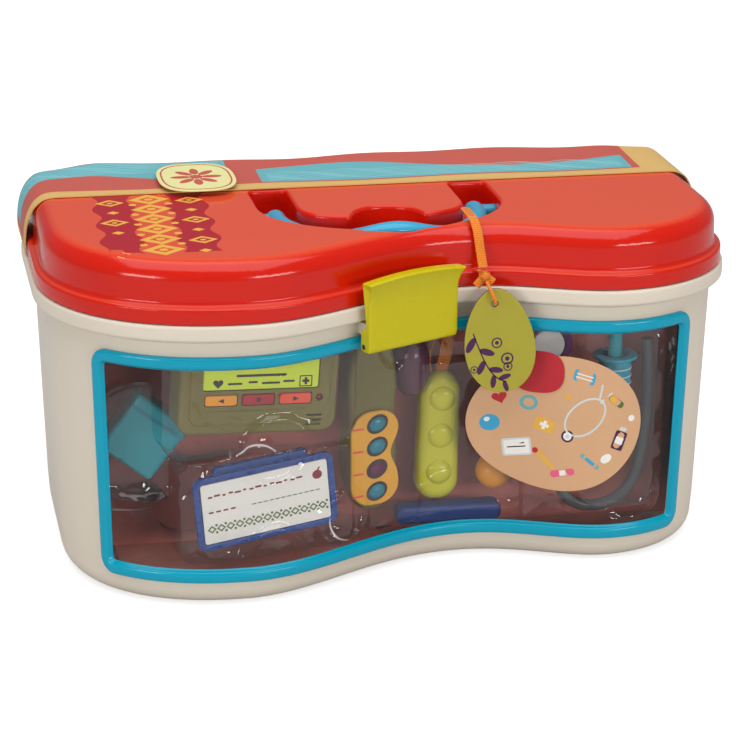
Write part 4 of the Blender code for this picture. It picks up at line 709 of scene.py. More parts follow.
def strap(points, wide, thick, count, sides=16, hint=(1.0, 0.0, 0.0)):
    """A flat band of an oval section that follows a smooth curve."""
    line = flow(points, count)
    rings = []
    for step, place in enumerate(line):
        before, after = line[max(step - 1, 0)], line[min(step + 1, count - 1)]
        along = (after - before).normalized()
        across = (Vector(hint) - along * along.dot(Vector(hint))).normalized()
        up = across.cross(along)
        rings.append([place + across * (wide / 2.0 * cos(turn)) + up * (thick / 2.0 * sin(turn))
                      for turn in around(sides)])
    return Shape().loft(rings), line


TAG_FRONT = -0.065


def tag_outline():
    """An egg: narrow at the hole, broad below."""
    middle, tall, half = 0.1158, 0.0255, 0.0168
    outline = []
    for turn in around(96):
        broad = 1.0 - 0.16 * sin(turn)
        outline.append((0.045 - 0.13 * half * sin(turn) + half * broad * cos(turn),
                        middle + tall * sin(turn)))
    return outline


def make_ribbon():
    shape, line = strap(RIBBON_POINTS, 0.0044, 0.0011, 60, 20)
    ribbon = piece("ribbon_band", shape, "orange", "handle", ["ribbon"])
    shape, _ = strap(STRAND_POINTS, 0.0016, 0.0014, 40)
    strand = piece("ribbon_end", shape, "orange", "handle", ["ribbon_strand"])
    knot = Shape()
    for way, wide in (((-0.0042, -0.001, -0.0046), 0.004), ((0.004, -0.0014, -0.003), 0.0036),
                      ((-0.003, -0.0008, 0.003), 0.0034)):
        tail, _ = strap([(0.0, -0.0006, 0.0), tuple(0.5 * part for part in way), way],
                        wide, 0.0008, 14, 14, (0.8, 0.0, -0.6) if way[0] < 0 else (0.8, 0.0, 0.6))
        knot.join(tail)
    for turn, tilt in ((0.3, 0.2), (0.9, -0.35)):
        rings = []
        for angle in around(40):
            out = Vector((cos(angle), sin(angle), 0.0))
            rings.append([out * (0.0021 + 0.0006 * cos(side)) + Vector((0, 0, 0.0013 * sin(side)))
                          for side in around(12)])
        knot.join(Shape().loft(rings, close=True).moved(turn=(tilt, turn - 0.3, 0.0)))
    knot.moved(KNOT)
    knot = piece("ribbon_bow", knot, "orange", "handle", ["ribbon_knot"])
    for name, shift, paint, slot, node_name in (("tag_card_front", 0.0, "tag", "tag", "tag_front"),
            ("tag_card_back", 0.0009, "plum", "plum", "tag_back")):
        front = TAG_FRONT + shift
        shape = Shape().slab(tag_outline(), front, front + 0.0006)
        hole = Shape().rod((0.0422, front - 0.004, 0.1341), (0.0422, front + 0.004, 0.1341),
                           0.0018)
        piece(name, shape, paint, "handle", [node_name], bevel=0.0001,
                          steps=1, cuts=[hole])


# ---- stage and light

LAMP_AIM = Vector((0.0, 0.0, 0.1))
LAMP_REACH = 2.2


def lamp(name, place, size_x, size_y, radiance):
    data = bpy.data.lights.new(name, "AREA")
    data.shape = "RECTANGLE"
    data.size = size_x
    data.size_y = size_y
    data.energy = radiance * pi * size_x * size_y
    item = bpy.data.objects.new(name, data)
    bpy.context.scene.collection.objects.link(item)
    item.location = place
    item.rotation_mode = "QUATERNION"
    item.rotation_quaternion = (LAMP_AIM - Vector(place)).to_track_quat("-Z", "Y")


FLOOR_HALF = 6
FLOOR_COLOUR = (0.56, 0.56, 0.56)
WHITE = (1.0, 1.0, 1.0)


def make_stage():
    corners = ((-1, -1), (1, -1), (1, 1), (-1, 1))
    shape = Shape().add([(FLOOR_HALF * x, FLOOR_HALF * y, 0) for x, y in corners],
                        [(0, 1, 2, 3)])
    floor = shape.item("floor")
    floor.location.z = -0.0002
    paint, tree, shader, where = new_paint("floor_paint")
    surface(tree, shader, where, FLOOR_COLOUR, 0.8, mottle=0.005, patch=2.0, grain=300.0)
    shader.inputs["Specular IOR Level"].default_value = 0.0
    rays = tree.nodes.new("ShaderNodeLightPath")
    shader.inputs["Emission Color"].default_value = (*WHITE, 1.0)
    reach = node(tree, "VectorMath", {"Vector": where}, output=1, operation="LENGTH")
    glow = node(tree, "MapRange", {"Value": reach, "From Min": 0.5, "From Max": 2.0,
                                   "To Min": 0.66, "To Max": 1.0})
    put(tree, shader.inputs["Emission Strength"],
        maths(tree, "MULTIPLY", rays.outputs["Is Camera Ray"], glow))
    floor.data.materials.append(paint)
    scene = bpy.context.scene
    world = bpy.data.worlds.new("plain_world")
    scene.world = world
    world.use_nodes = True
    tree = world.node_tree
    back = tree.nodes["Background"]
    rays = tree.nodes.new("ShaderNodeLightPath")
    seen = maths(tree, "MAXIMUM", rays.outputs["Is Camera Ray"],
                 rays.outputs["Is Transmission Ray"])
    gloss = maths(tree, "MULTIPLY", rays.outputs["Is Glossy Ray"], 0.2)
    other = maths(tree, "MAXIMUM", seen, gloss)
    dim = maths(tree, "MULTIPLY", maths(tree, "SUBTRACT", 1.0, rays.outputs["Is Glossy Ray"]), 0.46)
    put(tree, back.inputs["Strength"], maths(tree, "MAXIMUM", other, dim))
    back.inputs["Color"].default_value = (*WHITE, 1.0)
    scene.view_settings.view_transform = "Standard"


def make_lights():
    for name, azimuth, height, wide, tall, radiance in (
            ("left_softbox", -50.0, 0.55, 0.95, 0.3, 12.0),
            ("right_softbox", 28.0, 0.57, 1.3, 0.26, 12.0)):
        turn = radians(azimuth)
        lamp(name, (LAMP_REACH * sin(turn), -LAMP_REACH * cos(turn), height), wide, tall, radiance)
    lamp("overhead_softbox", (-0.1, -0.25, 1.5), 1.9, 1.5, 2.1)


# ---- tub, window and latch

HINGE_X = 0.08
HINGE_BACK = 0.0052
HINGE_RISE = 0.0006
KNUCKLE_R = 0.0036


def hinge_parts(lid):
    """The knuckles and webs of the two rear hinges, of the lid or of the tub."""
    shape = Shape()
    axis_y, axis_z = BACK_Y + HINGE_BACK, RIM_Z + HINGE_RISE
    for side in (-1, 1):
        if lid:
            spans = [(side * HINGE_X - 0.009, side * HINGE_X + 0.009)]
            root, low, high = BACK_Y - 0.0025, SKIRT_Z + 0.0003, axis_z + 0.0031
        else:
            spans = [(side * HINGE_X + 0.0094, side * HINGE_X + 0.0184),
                     (side * HINGE_X - 0.0184, side * HINGE_X - 0.0094)]
            root, low, high = BACK_Y - 0.0046, axis_z - 0.0034, RIM_Z - 0.0003
        for left, right in spans:
            shape.rod((left, axis_y, axis_z), (right, axis_y, axis_z), KNUCKLE_R, 32, 0.0005)
            outline = [(left + 0.0006, root), (right - 0.0006, root),
                       (right - 0.0006, axis_y), (left + 0.0006, axis_y)]
            shape.loft([[(x, y, z) for x, y in outline] for z in (low, high)])
    return shape


def latch_place(along, out, height):
    return Vector((LATCH_AT[0] + along * cos(LATCH_YAW) + out * sin(LATCH_YAW),
                   LATCH_AT[1] + along * sin(LATCH_YAW) - out * cos(LATCH_YAW), height))


def latch_prism(outline, start, end):
    return Shape().loft([[latch_place(along, out, height) for out, height in outline]
                         for along in (end, start)])


def make_tub():
    profile = []
    for turn in spread(0.0, QUARTER_TURN, 8):
        profile.append((WALL_FOOT + 0.01 * (1.0 - sin(turn)), 0.01 * (1.0 - cos(turn))))
    for step in range(1, 13):
        height = 0.01 + (WALL_TOP_Z - 0.01) * step / 12.0
        profile.append((wall_inset(height), height))
    profile += [(0.0054, 0.1302), (0.003, 0.1312), (0.0012, 0.1319), (0.0005, 0.1323),
                (0.0001, 0.1329), (0.0, 0.1336), (0.0, 0.138), (0.0002, 0.1388),
                (0.0007, 0.1393), (0.0013, RIM_Z), (0.0046, RIM_Z), (0.0046, 0.1448),
                (0.0048, 0.1453), (0.0053, 0.1455)]
    shape = Shape().loft([ring(inset, height) for inset, height in profile])
    tub = shape.item("tub_body")
    hollow = []
    for turn in spread(0.0, QUARTER_TURN, 5):
        hollow.append((WALL_FOOT + WALL + 0.0075 * (1.0 - sin(turn)),
                       0.003 + 0.0075 * (1.0 - cos(turn))))
    hollow += [(wall_inset(height) + WALL, height) for height in (0.05, 0.09, WALL_TOP_Z)]
    hollow += [(0.007, RIM_Z), (0.007, 0.15)]
    carve(tub, Shape().loft([ring(*mark) for mark in hollow]).item("tub_hollow"))
    carve(tub, window_plug(0.003, -WALL - 0.004, 0.004).item("window_hole"))
    extra = hinge_parts(False)
    for side in (-1, 1):
        start = side * (LATCH_HALF - 0.003)
        low, high = sorted((start, start - side * 0.008))
        outline = [(0.0026 * cos(-pi + pi * step / 12.0), LATCH_Z + 0.0026
                    * sin(-pi + pi * step / 12.0)) for step in range(13)]
        outline += mm([
            (2.6, 125.0), (0.0, 130.6), (-16.8, 130.6), (-16.8, 125.0), (-2.6, 125.0)])
        extra.join(latch_prism(outline, low, high))
    merge(tub, extra.item("lugs"))
    piece("tub_body", tub, "ivory", "tub", ["tub_shell"])


def make_window():
    loop = window_loop(0.0, 0.0085)
    section = mm([
        (0.0, 0.1), (0.0, 1.3), (-0.3, 2.0), (-0.9, 2.4), (-1.7, 2.6), (-3.4, 2.6), (-4.4, 2.5),
        (-5.1, 2.2), (-5.6, 1.7), (-5.9, 0.9), (-6.6, 0.1), (-6.6, -0.3), (-2.8, -0.3),
        (-2.8, 0.1)])
    rings = [[wall_point(run + aim_run * across, height + aim_height * across, out)
              for across, out in section] for run, height, aim_run, aim_height in loop]
    piece("window_surround", Shape().loft(rings, close=True), "cyan", "tub",
          ["window_frame"])
    pane = piece("window_sheet", window_plug(0.0033, -0.0014, -0.0004), "pane", "tub",
          ["window_pane"], even_light=False)
    pane.visible_shadow = False


def latch_face(inset):
    return [(0.0048 - inset, LATCH_Z), (0.0048 - inset, 0.138), (0.0049 - inset, 0.1425),
            (0.0053 - inset, 0.1452), (0.0061 - inset, 0.148), (0.0072 - inset, 0.1503),
            (0.0085 - inset, 0.152 - inset)]


def latch_ring(outline, share):
    """One section of the latch: its top bows up in the middle and flares at the ends."""
    ring_points = []
    for out, height in outline:
        rise = max(height - 0.1425, 0.0) / 0.0095
        bow = 0.0019 * (1.0 - share * share) * clamp((height - 0.147) / 0.004)
        along = share * LATCH_HALF + (1 if share > 0 else -1) * 0.0022 * (
            share * share * rise * rise)
        ring_points.append(latch_place(along, out, height + bow))
    return ring_points


def make_latch():
    outline = []
    for turn in spread(-pi, -QUARTER_TURN, 8):
        outline.append((0.0026 * cos(turn), LATCH_Z + 0.0026 * sin(turn)))
    outline += [(0.0032, LATCH_Z - 0.0026), (0.0043, LATCH_Z - 0.0021)]
    outline += latch_face(0.0)
    outline += [(0.007, 0.1524), (0.0014, 0.1522), (0.0014, 0.1306), (-0.0026, 0.128)]
    back = -0.0066
    hollow = [(back, LATCH_Z - 0.0066), (0.003, LATCH_Z - 0.0066)] + latch_face(0.0018)
    hollow += [(back, 0.1496)]
    inner = LATCH_HALF - 0.0026
    body = Shape().loft([latch_ring(outline, 1.0 - step / 12.0) for step in range(25)])
    item = body.item("latch_shell")
    ease(item, 0.0011, 4, 40.0)
    piece("latch_shell", item, "latch", "latch", ["latch_plate"],
          cuts=[latch_prism(hollow, -inner, inner),
                Shape().rod(latch_place(-0.03, 0, LATCH_Z), latch_place(0.03, 0, LATCH_Z),
                            0.0013)])


# ---- lid and handle

def scoop_front(x):
    middle, half, back, front = SCOOP
    across = (x - middle) / half
    return (back + (front - back) * (1.0 - across * across) ** 1.1 if abs(across) < 1.0 else 0.0)


def channel_outline():
    """The handle's recess as one closed line: the outer wall, then round the island."""
    points = [Vector((-RECESS_HALF, RECESS_BACK))]
    for step in range(121):
        turn = pi + pi * step / 120.0
        x = RECESS_HALF * cos(turn)
        points.append(Vector((x, min(RECESS_FRONT * sin(turn), -scoop_front(x)))))
    points.append(Vector((RECESS_HALF, RECESS_BACK)))
    side = [Vector((ISLAND_HALF, RECESS_BACK))]
    power = 2.0 / 2.8
    for step in range(60):
        turn = pi / 2.0 * step / 60.0
        x = ISLAND_HALF * cos(turn) ** power
        if x < NOTCH_HALF + 0.001:
            break
        side.append(Vector((x, -ISLAND_FRONT * sin(turn) ** power)))
    mouth = -ISLAND_FRONT * (1.0 - (NOTCH_HALF / ISLAND_HALF) ** 2.8) ** (1.0 / 2.8)
    notch = [Vector((NOTCH_HALF * cos(pi * step / 40.0), mouth + NOTCH_DEEP
                     * sin(pi * step / 40.0))) for step in range(41)]
    points += side + notch + [Vector((-p.x, p.y)) for p in reversed(side)]
    return relax(even(points, 420, closed=True), 10, closed=True)


def inside(x, y, outline):
    """Whether a place lies in a closed outline, by counting crossings."""
    x1, y1 = outline[:, 0], outline[:, 1]
    x2, y2 = np.roll(x1, -1), np.roll(y1, -1)
    hits = (y1 > y) != (y2 > y)
    where = x1[hits] + (y - y1[hits]) * (x2[hits] - x1[hits]) / (y2[hits] - y1[hits])
    return bool((where > x).sum() % 2)


def lid_skin():
    """The lid's outer solid, with the recess sunk in its top."""
    channel = channel_outline()
    area = sum(a.x * b.y - b.x * a.y for a, b in zip(channel, channel[1:] + channel[:1]))
    ways = outward(channel)
    if area < 0:
        ways = [-way for way in ways]

    def drawn(out, height=None, drop=0.0):
        marks = []
        for p, n in zip(channel, ways):
            x, y = p.x + n.x * out, p.y + n.y * out
            marks.append(Vector((x, y, (lid_top(x, y).z if height is None else height) - drop)))
        return marks

    walls = []
    for turn in spread(0.0, QUARTER_TURN, 8):
        walls.append(drawn(EDGE_R * (1.0 - sin(turn)), drop=EDGE_R * (1.0 - cos(turn))))
    top_ring = walls[-1]
    for share in (0.35, 0.7):
        walls.append([Vector((p.x, p.y, p.z + (FLOOR_Z + 0.0018 - p.z) * share))
                      for p in top_ring])
    for turn in spread(0.0, QUARTER_TURN, 4):
        walls.append(drawn(-0.0014 * (1.0 - cos(turn)), FLOOR_Z + 0.0014 * (1.0 - sin(turn))))
    walls.append(drawn(-0.002, FLOOR_Z))
    sides = [(0.0015, 0.13995), (0.0013, 0.1403), (0.0013, 0.1435), (0.0013, 0.146),
             (0.00145, 0.1466), (0.0019, 0.147), (0.0026, 0.1473), (0.0033, 0.1476),
             (0.0039, 0.148), (0.0043, 0.1485), (0.00455, 0.1492), (0.0046, 0.1498),
             (0.0047, 0.153), (0.0048, 0.156), (SIDE_IN, SHOULDER_Z)]
    turns = [radians(90.0 * step / 16.0) for step in range(17)]
    round_marks = [(SIDE_IN + SHOULDER_R * (1.0 - cos(turn)),
                    SHOULDER_Z + SHOULDER_R * sin(turn)) for turn in turns]
    sides += round_marks[1:3]
    rings = [ring(*mark) for mark in sides]
    shape = Shape().loft(rings, caps=(True, False))
    shape.loft(walls, caps=(False, True))
    hole = [(p.x, p.y) for p in walls[0]]
    near = np.array(hole)
    points = [tuple(p) for p in rings[-1]] + [tuple(p) for p in walls[0]]
    count = len(rings[-1])
    edges = [(n, (n + 1) % count) for n in range(count)]
    edges += [(count + n, count + (n + 1) % len(hole)) for n in range(len(hole))]
    support = [tuple(p) for p in drawn(EDGE_R + 0.0005)]
    for group, gap in ([(support, 0.0003)] + [([tuple(p) for p in ring(*mark)], 0.0009)
                                              for mark in round_marks[3:] + [(0.0148, TOP_Z)]]):
        before = None
        for number, (x, y, z) in enumerate(group):
            reach = np.sqrt(((near - (x, y)) ** 2).sum(1).min())
            rim = inset_of(x, y)
            if inside(x, y, near) or reach < gap or rim < round_marks[2][0] + 0.0002:
                before = None
                continue
            points.append((x, y, z))
            if before is not None:
                edges.append((before, len(points) - 1))
            before = len(points) - 1
    flat = [Vector((x, y)) for x, y, _ in points]
    made, _, faces, origin, _, _ = delaunay_2d_cdt(flat, edges, [], 0, 1e-7, True)
    heights = []
    for number, place in enumerate(made):
        known = origin[number]
        heights.append(points[known[0]][2] if known else lid_top(place.x, place.y).z)
    rim = np.array([(p.x, p.y) for p in rings[-1]])
    kept = []
    for face in faces:
        x = sum(made[n].x for n in face) / len(face)
        y = sum(made[n].y for n in face) / len(face)
        if inside(x, y, rim) and not inside(x, y, near):
            kept.append(face)
    shape.add([(place.x, place.y, z) for place, z in zip(made, heights)], kept)
    return shape


def recess_outline(grow):
    half = RECESS_HALF + grow
    points = [(half, RECESS_BACK + grow), (-half, RECESS_BACK + grow)]
    for step in range(57):
        turn = pi + pi * step / 56.0
        x = half * cos(turn)
        middle, wide, back, front = SCOOP
        across = (x - middle) / (wide + grow)
        deep = (back + (front + grow - back) * sqrt(1.0 - across * across)
                if abs(across) < 1.0 else 0.0)
        points.append((x, min((RECESS_FRONT + grow) * sin(turn), -deep)))
    return points


def make_lid():
    lid = lid_skin().item("lid_cover")
    hollow = [(0.0013 + LID_WALL, SKIRT_Z - 0.004), (0.0013 + LID_WALL, BAND_Z),
              (0.0046 + LID_WALL, 0.1492)]
    for turn in spread(0.0, QUARTER_TURN, 6):
        hollow.append((SIDE_IN + LID_WALL + 0.0071 * (1.0 - cos(turn)),
                       SHOULDER_Z + 0.0071 * sin(turn)))
    inner = Shape().loft([ring(*mark) for mark in hollow]).item("lid_hollow")
    well = Shape().loft([[(x, y, z) for x, y in recess_outline(0.003)]
                         for z in (FLOOR_Z - 0.003, TOP_Z + 0.004)])
    carve(inner, well.item("recess_well"))
    carve(lid, inner)
    merge(lid, hinge_parts(True).item("lid_knuckles"))
    piece("lid_cover", lid, "red", "lid", ["lid_shell"], angle=50.0)


def make_handle():
    """The bail: an oval section swept round a half ellipse, heels round the pivots."""
    count, sides = 96, 28
    rings = []
    for turn in spread(0.0, pi, count):
        grip = sin(turn) ** 2
        centre = PIVOT + Vector((-BAIL_HALF * cos(turn), -BAIL_REACH * sin(turn),
                                 0.006 * sin(turn) ** 12))
        along = Vector((BAIL_HALF * sin(turn), -BAIL_REACH * cos(turn))).normalized()
        across = Vector((along.y, -along.x, 0.0))
        wide = (0.0094 + (0.0086 - 0.0094) * grip) / 2.0
        rings.append([centre + across * (wide * cos(side)) + Vector((0, 0, 0.0042 * sin(side)))
                      for side in around(sides)])
    for first, place in ((True, rings[0]), (False, rings[-1])):
        middle = sum(place, Vector()) / sides
        heel = []
        for turn in spread(0.0, QUARTER_TURN, 8)[1:]:
            share = max(cos(turn), 0.12) * (1.0 + 0.12 * sin(2.0 * turn))
            heel.append([middle + (p - middle) * share
                         + Vector((0.0, 0.0076 * sin(turn), 0.0)) for p in place])
        rings = heel[::-1] + rings if first else rings + heel
    shape = Shape().loft(rings)
    for side in (-1, 1):
        shape.rod(PIVOT + Vector((side * (BAIL_HALF - 0.002), 0, 0)),
                  PIVOT + Vector((side * 0.0605, 0, 0)), 0.003, 24, 0.0003)
    piece("carry_handle", shape, "blue", "handle", ["handle_bail"])


def sheet(shape, marks, lower, upper, at, low, high, rows=1):
    """A thin slab over a surface: columns at marks, each from lower to upper."""
    count = len(marks)
    points = [at(u, lower(u) + (upper(u) - lower(u)) * row / rows, lift)
              for lift in (high, low) for row in range(rows + 1) for u in marks]
    size = count * (rows + 1)
    faces = []
    for row in range(rows):
        for column in range(count - 1):
            here = row * count + column
            face = (here, here + 1, here + count + 1, here + count)
            faces += [face, tuple(size + n for n in reversed(face))]
    border = list(range(count - 1)) + [row * count + count - 1 for row in range(rows)]
    border += [rows * count + column for column in range(count - 1, 0, -1)]
    border += [row * count for row in range(rows, 0, -1)]
    for here, after in zip(border, border[1:] + border[:1]):
        faces.append((here, here + size, after + size, after))
    return shape.add(points, faces)


def placed(outline, shift, turn):
    """An outline turned about its own middle and moved."""
    return [(shift[0] + u * cos(turn) - v * sin(turn), shift[1] + u * sin(turn) + v * cos(turn))
            for u, v in outline]


def inlay(shape, outline, at, shift=(0.0, 0.0), turn=0.0, low=-0.0001, high=0.00005):
    """A thin printed shape on a surface, from an outline round its own middle."""
    marks = placed(outline, shift, turn)
    return shape.loft([[at(u, v, lift) for u, v in marks] for lift in (high, low)])


def stamp(*outline, **place):
    """An inlay as a shape of its own."""
    return inlay(Shape(), *outline, **place)


def hoop(shape, outer, inner, at, shift=(0.0, 0.0), turn=0.0, low=-0.0001, high=0.00005):
    """A printed ring between two outlines with the same number of points."""
    return shape.loft([[at(u, v, lift) for u, v in placed(outline, shift, turn)]
                       for outline, lift in ((outer, high), (inner, high), (inner, low),
                                             (outer, low))], close=True)


def diamond(half_x, half_y):
    return [(half_x, 0.0), (0.0, half_y), (-half_x, 0.0), (0.0, -half_y)]


def heart(size):
    outline = []
    for turn in around(32):
        outline.append((size * sin(turn) ** 3, size * (0.81 * cos(turn) - 0.31 * cos(2 * turn)
                        - 0.12 * cos(3 * turn) - 0.06 * cos(4 * turn))))
    return outline[::-1]


def plus(reach, arm):
    return [(reach, -arm), (reach, arm), (arm, arm), (arm, reach), (-arm, reach), (-arm, arm),
            (-reach, arm), (-reach, -arm), (-arm, -arm), (-arm, -reach), (arm, -reach),
            (arm, -arm)]


SLEEVE_LINE = mm([
    (-166.7, 141.2), (-166.8, 146.0), (-166.3, 152.0), (-164.9, 158.0), (-162.2, 163.2),
    (-158.0, 167.0), (-153.0, 167.9), (-145.0, 167.8), (0.0, 167.8), (153.1, 167.8),
    (157.8, 167.6), (162.5, 165.2), (165.5, 160.0), (166.7, 154.0), (167.0, 147.0),
    (166.7, 141.2)])
SLEEVE = relax(even(SLEEVE_LINE, 300), 3)
SLEEVE_WAY = [-way for way in outward(SLEEVE, closed=False)]
SLEEVE_RUN = lengths(SLEEVE)


def sleeve_at(run, y, lift):
    """A place on the card band: run along it from the left end, y, and height above."""
    place, way = at_run(run, SLEEVE_RUN, SLEEVE, SLEEVE_WAY)
    place = place + way * lift
    back = clamp((y - 0.036) / 0.044) ** 1.6
    flat = clamp((0.156 - abs(place.x)) / 0.03)
    arch = 0.0021 + 0.0006 * sin(place.x / 0.03) + 0.0004 * sin(place.x / 0.011 + 1.0)
    return Vector((place.x, y, place.y + arch * back * flat * flat * (3.0 - 2.0 * flat)))


def sleeve_run(x):
    return SLEEVE_RUN[min(range(len(SLEEVE)), key=lambda n: abs(SLEEVE[n].x - x))]


def make_sleeve():
    total = SLEEVE_RUN[-1]
    sheet_shape = sheet(Shape(), spread(0.0, total, 240), lambda run: 0.0305,
                        lambda run: 0.08, sleeve_at, 0.0, 0.0006, rows=12)
    piece("sleeve_card", sheet_shape, "kraft", "lid", ["sleeve_band"])
    first, last = 0.003, sleeve_run(0.142)
    middle = sleeve_run(-0.06)

    def kraft_line(run):
        return 0.0385 + 0.0012 * sin(run / 0.017)

    rose = sheet(Shape(), spread(first, last, 200), kraft_line, lambda run: 0.0797,
                 sleeve_at, 0.0005, 0.00066, rows=12)
    piece("sleeve_rose", rose, "rose_print", "lid")
    teal = sheet(Shape(), spread(first + 0.004, middle - 0.004, 80),
                 lambda run: 0.056 + 0.007 * sin((run - first) / 0.024),
                 lambda run: 0.079, sleeve_at, 0.0006, 0.00072, rows=10)
    sheet(teal, spread(middle + 0.01, last - 0.004, 140), lambda run: kraft_line(run) + 0.0016,
          lambda run: 0.06 + 0.008 * sin((run - middle) / 0.03),
          sleeve_at, 0.0006, 0.00072, rows=10)
    piece("sleeve_teal", teal, "teal_print", "lid")
    lines = Shape()

    def line_y(run, number, base):
        return (base + 0.0021 * number
                + 0.0016 * sin(run / 0.0045 + 0.9 * number) * (0.5 + 0.5 * sin(run / 0.021)))

    for number in range(7):
        for start, stop, base in ((first + 0.006, middle - 0.007, 0.064),
                                  (middle + 0.014, last - 0.008, 0.043)):
            sheet(lines, spread(start, stop, 110), lambda run, n=number, b=base: line_y(run, n, b),
                  lambda run, n=number, b=base: line_y(run, n, b + 0.00035),
                  sleeve_at, 0.0006, 0.00077)
    piece("sleeve_lines", lines, "sleeve_line", "lid")
    low = TOP_Z + 0.0028

    def plate_at(x, y, lift):
        return Vector((x, y, low + lift + 0.0009 * ((y - 0.0215) / 0.0485)))

    middle_x, middle_y = -0.082, 0.04575
    outline = [(middle_x + x, middle_y + y) for x, y in oval(0.019, 0.02425, 96, 2.8)]
    shape = Shape().loft([[plate_at(x, y, lift) for x, y in outline] for lift in (0.0, 0.0006)])
    piece("sleeve_plate", shape, "plate", "lid", ["sleeve_tab"], bevel=0.00012, steps=1)
    trim = Shape()
    hoop(trim, oval(0.0172, 0.0222, 96, 2.8), oval(0.0164, 0.0213, 96, 2.8), plate_at,
         (middle_x, middle_y), low=0.0005, high=0.00066)
    for turn in around(8):
        inlay(trim, oval(0.0022, 0.005, 24), plate_at,
              (middle_x + 0.0076 * cos(turn), middle_y + 0.0092 * sin(turn)), turn + pi / 2.0,
              0.0005, 0.00066)
    inlay(trim, oval(0.003, 0.0034, 24), plate_at, (middle_x, middle_y), 0.0, 0.0005, 0.00066)
    piece("plate_print", trim, "rose_print", "lid")


def make_lid_print():
    """A plain chain of lozenges and dots, of the real print's colours and scale."""
    tint, yellow, berry, dots = Shape(), Shape(), Shape(), Shape()

    def centre(y):
        return -0.108 - 0.036 * (0.03 - y)

    def edge(y, side, out):
        return centre(y) + side * 0.0175 + out * 0.0085 + out * 0.0018 * sin(y / 0.0044)

    for side in (-1, 1):
        sheet(tint, spread(-0.07, 0.03, 100), lambda y, s=side: edge(y, s, -1),
              lambda y, s=side: edge(y, s, 1), lambda v, u, lift: lid_top(u, v, lift),
              -0.0001, 0.00003, rows=2)
    for number in range(6):
        y = 0.0215 - 0.0172 * number
        x = centre(y)
        hoop(yellow, diamond(0.0098, 0.0086), diamond(0.0052, 0.0044), lid_top, (x, y),
             high=0.00007)
        inlay(dots, oval(0.0021, 0.0018, 20), lid_top, (x, y), high=0.0001)
        for side in (-1, 1):
            if number < 5:
                inlay(dots, oval(0.0019, 0.0017, 20), lid_top,
                      (x + side * 0.0086, y - 0.0086), high=0.0001)
            if number == 4 and side < 0:
                continue
            if number % 2 == 0:
                hoop(dots, diamond(0.0068, 0.0058), diamond(0.0042, 0.0035), lid_top,
                     (x + side * 0.019, y - 0.004), high=0.0001)
                inlay(dots, oval(0.0014, 0.0012, 16), lid_top, (x + side * 0.019, y - 0.004),
                      high=0.0001)
            else:
                inlay(dots, diamond(0.003, 0.0026), lid_top, (x + side * 0.0185, y - 0.004),
                      high=0.0001)
    piece("lid_print_tint", tint, "berry_print", "lid")
    yellow.join(dots)
    piece("lid_print_chain", yellow, "yellow_print", "lid")


# ---- tray and toys

class Face:
    """A flat face that looks along its own -Y: (x, z, out) becomes a place."""

    def __init__(self, place, turn=(0.0, 0.0, 0.0)):
        self.matrix = Matrix.LocRotScale(Vector(place), Euler(turn), None)

    def __call__(self, x, z, out):
        return self.matrix @ Vector((x, -out, z))


def dome(shape, outline, at, shift, base, rise):
    """A rounded boss with the outline as its foot."""
    rings = [[at(shift[0] + u, shift[1] + v, base - 0.0006) for u, v in outline]]
    for turn in spread(0.0, QUARTER_TURN, 7):
        share = max(cos(turn), 0.03)
        rings.append([at(shift[0] + u * share, shift[1] + v * share,
                         base + rise * sin(turn)) for u, v in outline])
    return shape.loft(rings)


PAGER = Face((-0.069, -0.071, 0.0998), (0.0, radians(4.0), radians(8.0)))
BADGE = Face((-0.0655, -0.0665, 0.0432), (0.0, radians(-5.0), radians(11.0)))
HANDSET = Face((-0.0105, -0.0445, 0.0715), (0.0, 0.0, radians(16.0)))
STICK = Face((0.024, -0.036, 0.0562), (0.0, radians(2.0), 0.0))
POCKETS = mm([
    (-120.5, 73.5, 20.4, 21.8, -53.0), (-69.0, 99.8, 38.0, 21.0, -72.8),
    (-65.5, 43.2, 34.8, 18.3, -66.5), (-10.5, 71.5, 14.0, 45.0, -49.0),
    (24.0, 58.2, 10.5, 32.5, -37.6), (52.0, 37.8, 8.8, 8.8, -38.7),
    (29.0, 19.0, 26.0, 4.5, -37.6), (74.0, 105.5, 12.5, 12.5, -45.5),
    (27.0, 100.0, 2.2, 13.0, -32.4), (100.0, 60.0, 29.0, 45.0, -43.3),
    (107.0, 78.0, 10.8, 44.0, -56.3)])
POCKET_TURNS = {1: 8.0, 2: 11.0, 3: 16.0}  # degrees
RIDGES = mm([
    (-122.5, 73.5, 29.0), (-120.0, 29.0, 12.0), (-62.0, 70.0, 17.0), (-28.0, 30.0, 12.0),
    (-62.0, 15.0, 15.0), (24.0, 27.0, 14.5), (115.0, 29.0, 16.0), (2.0, 112.0, 14.0)])

BLISTERS = mm([
    (-110.0, 64.0), (-101.0, 70.0), (-96.0, 60.0), (-118.0, 40.0), (-99.0, 48.0), (-130.0, 34.0),
    (-69.0, 72.0), (-40.0, 70.0), (-30.0, 20.0), (-85.0, 14.0), (-62.0, 13.0), (7.0, 26.0),
    (23.0, 15.0), (44.0, 21.0), (58.0, 18.0), (8.0, 98.0), (118.0, 18.0), (124.0, 25.0),
    (126.0, 100.0), (95.0, 112.0)])
# Painted highlight arcs on the tray: middle x and z, reach, and first and last angle in degrees.
PAINTED_GLINT_ARCS = [(-0.1215, 0.052, 0.029, 205, 285), (-0.072, 0.064, 0.012, 25, 160),
           (-0.024, 0.03, 0.011, 170, 262), (0.124, 0.098, 0.014, -40, 40),
           (0.033, 0.03, 0.022, 222, 285), (0.078, 0.033, 0.028, 236, 292)]


TRAY_BACK = -0.0137
TRAY_LOW = 0.0055
TRAY_HIGH = 0.1285
CARD_FOLD_Y = -0.0128


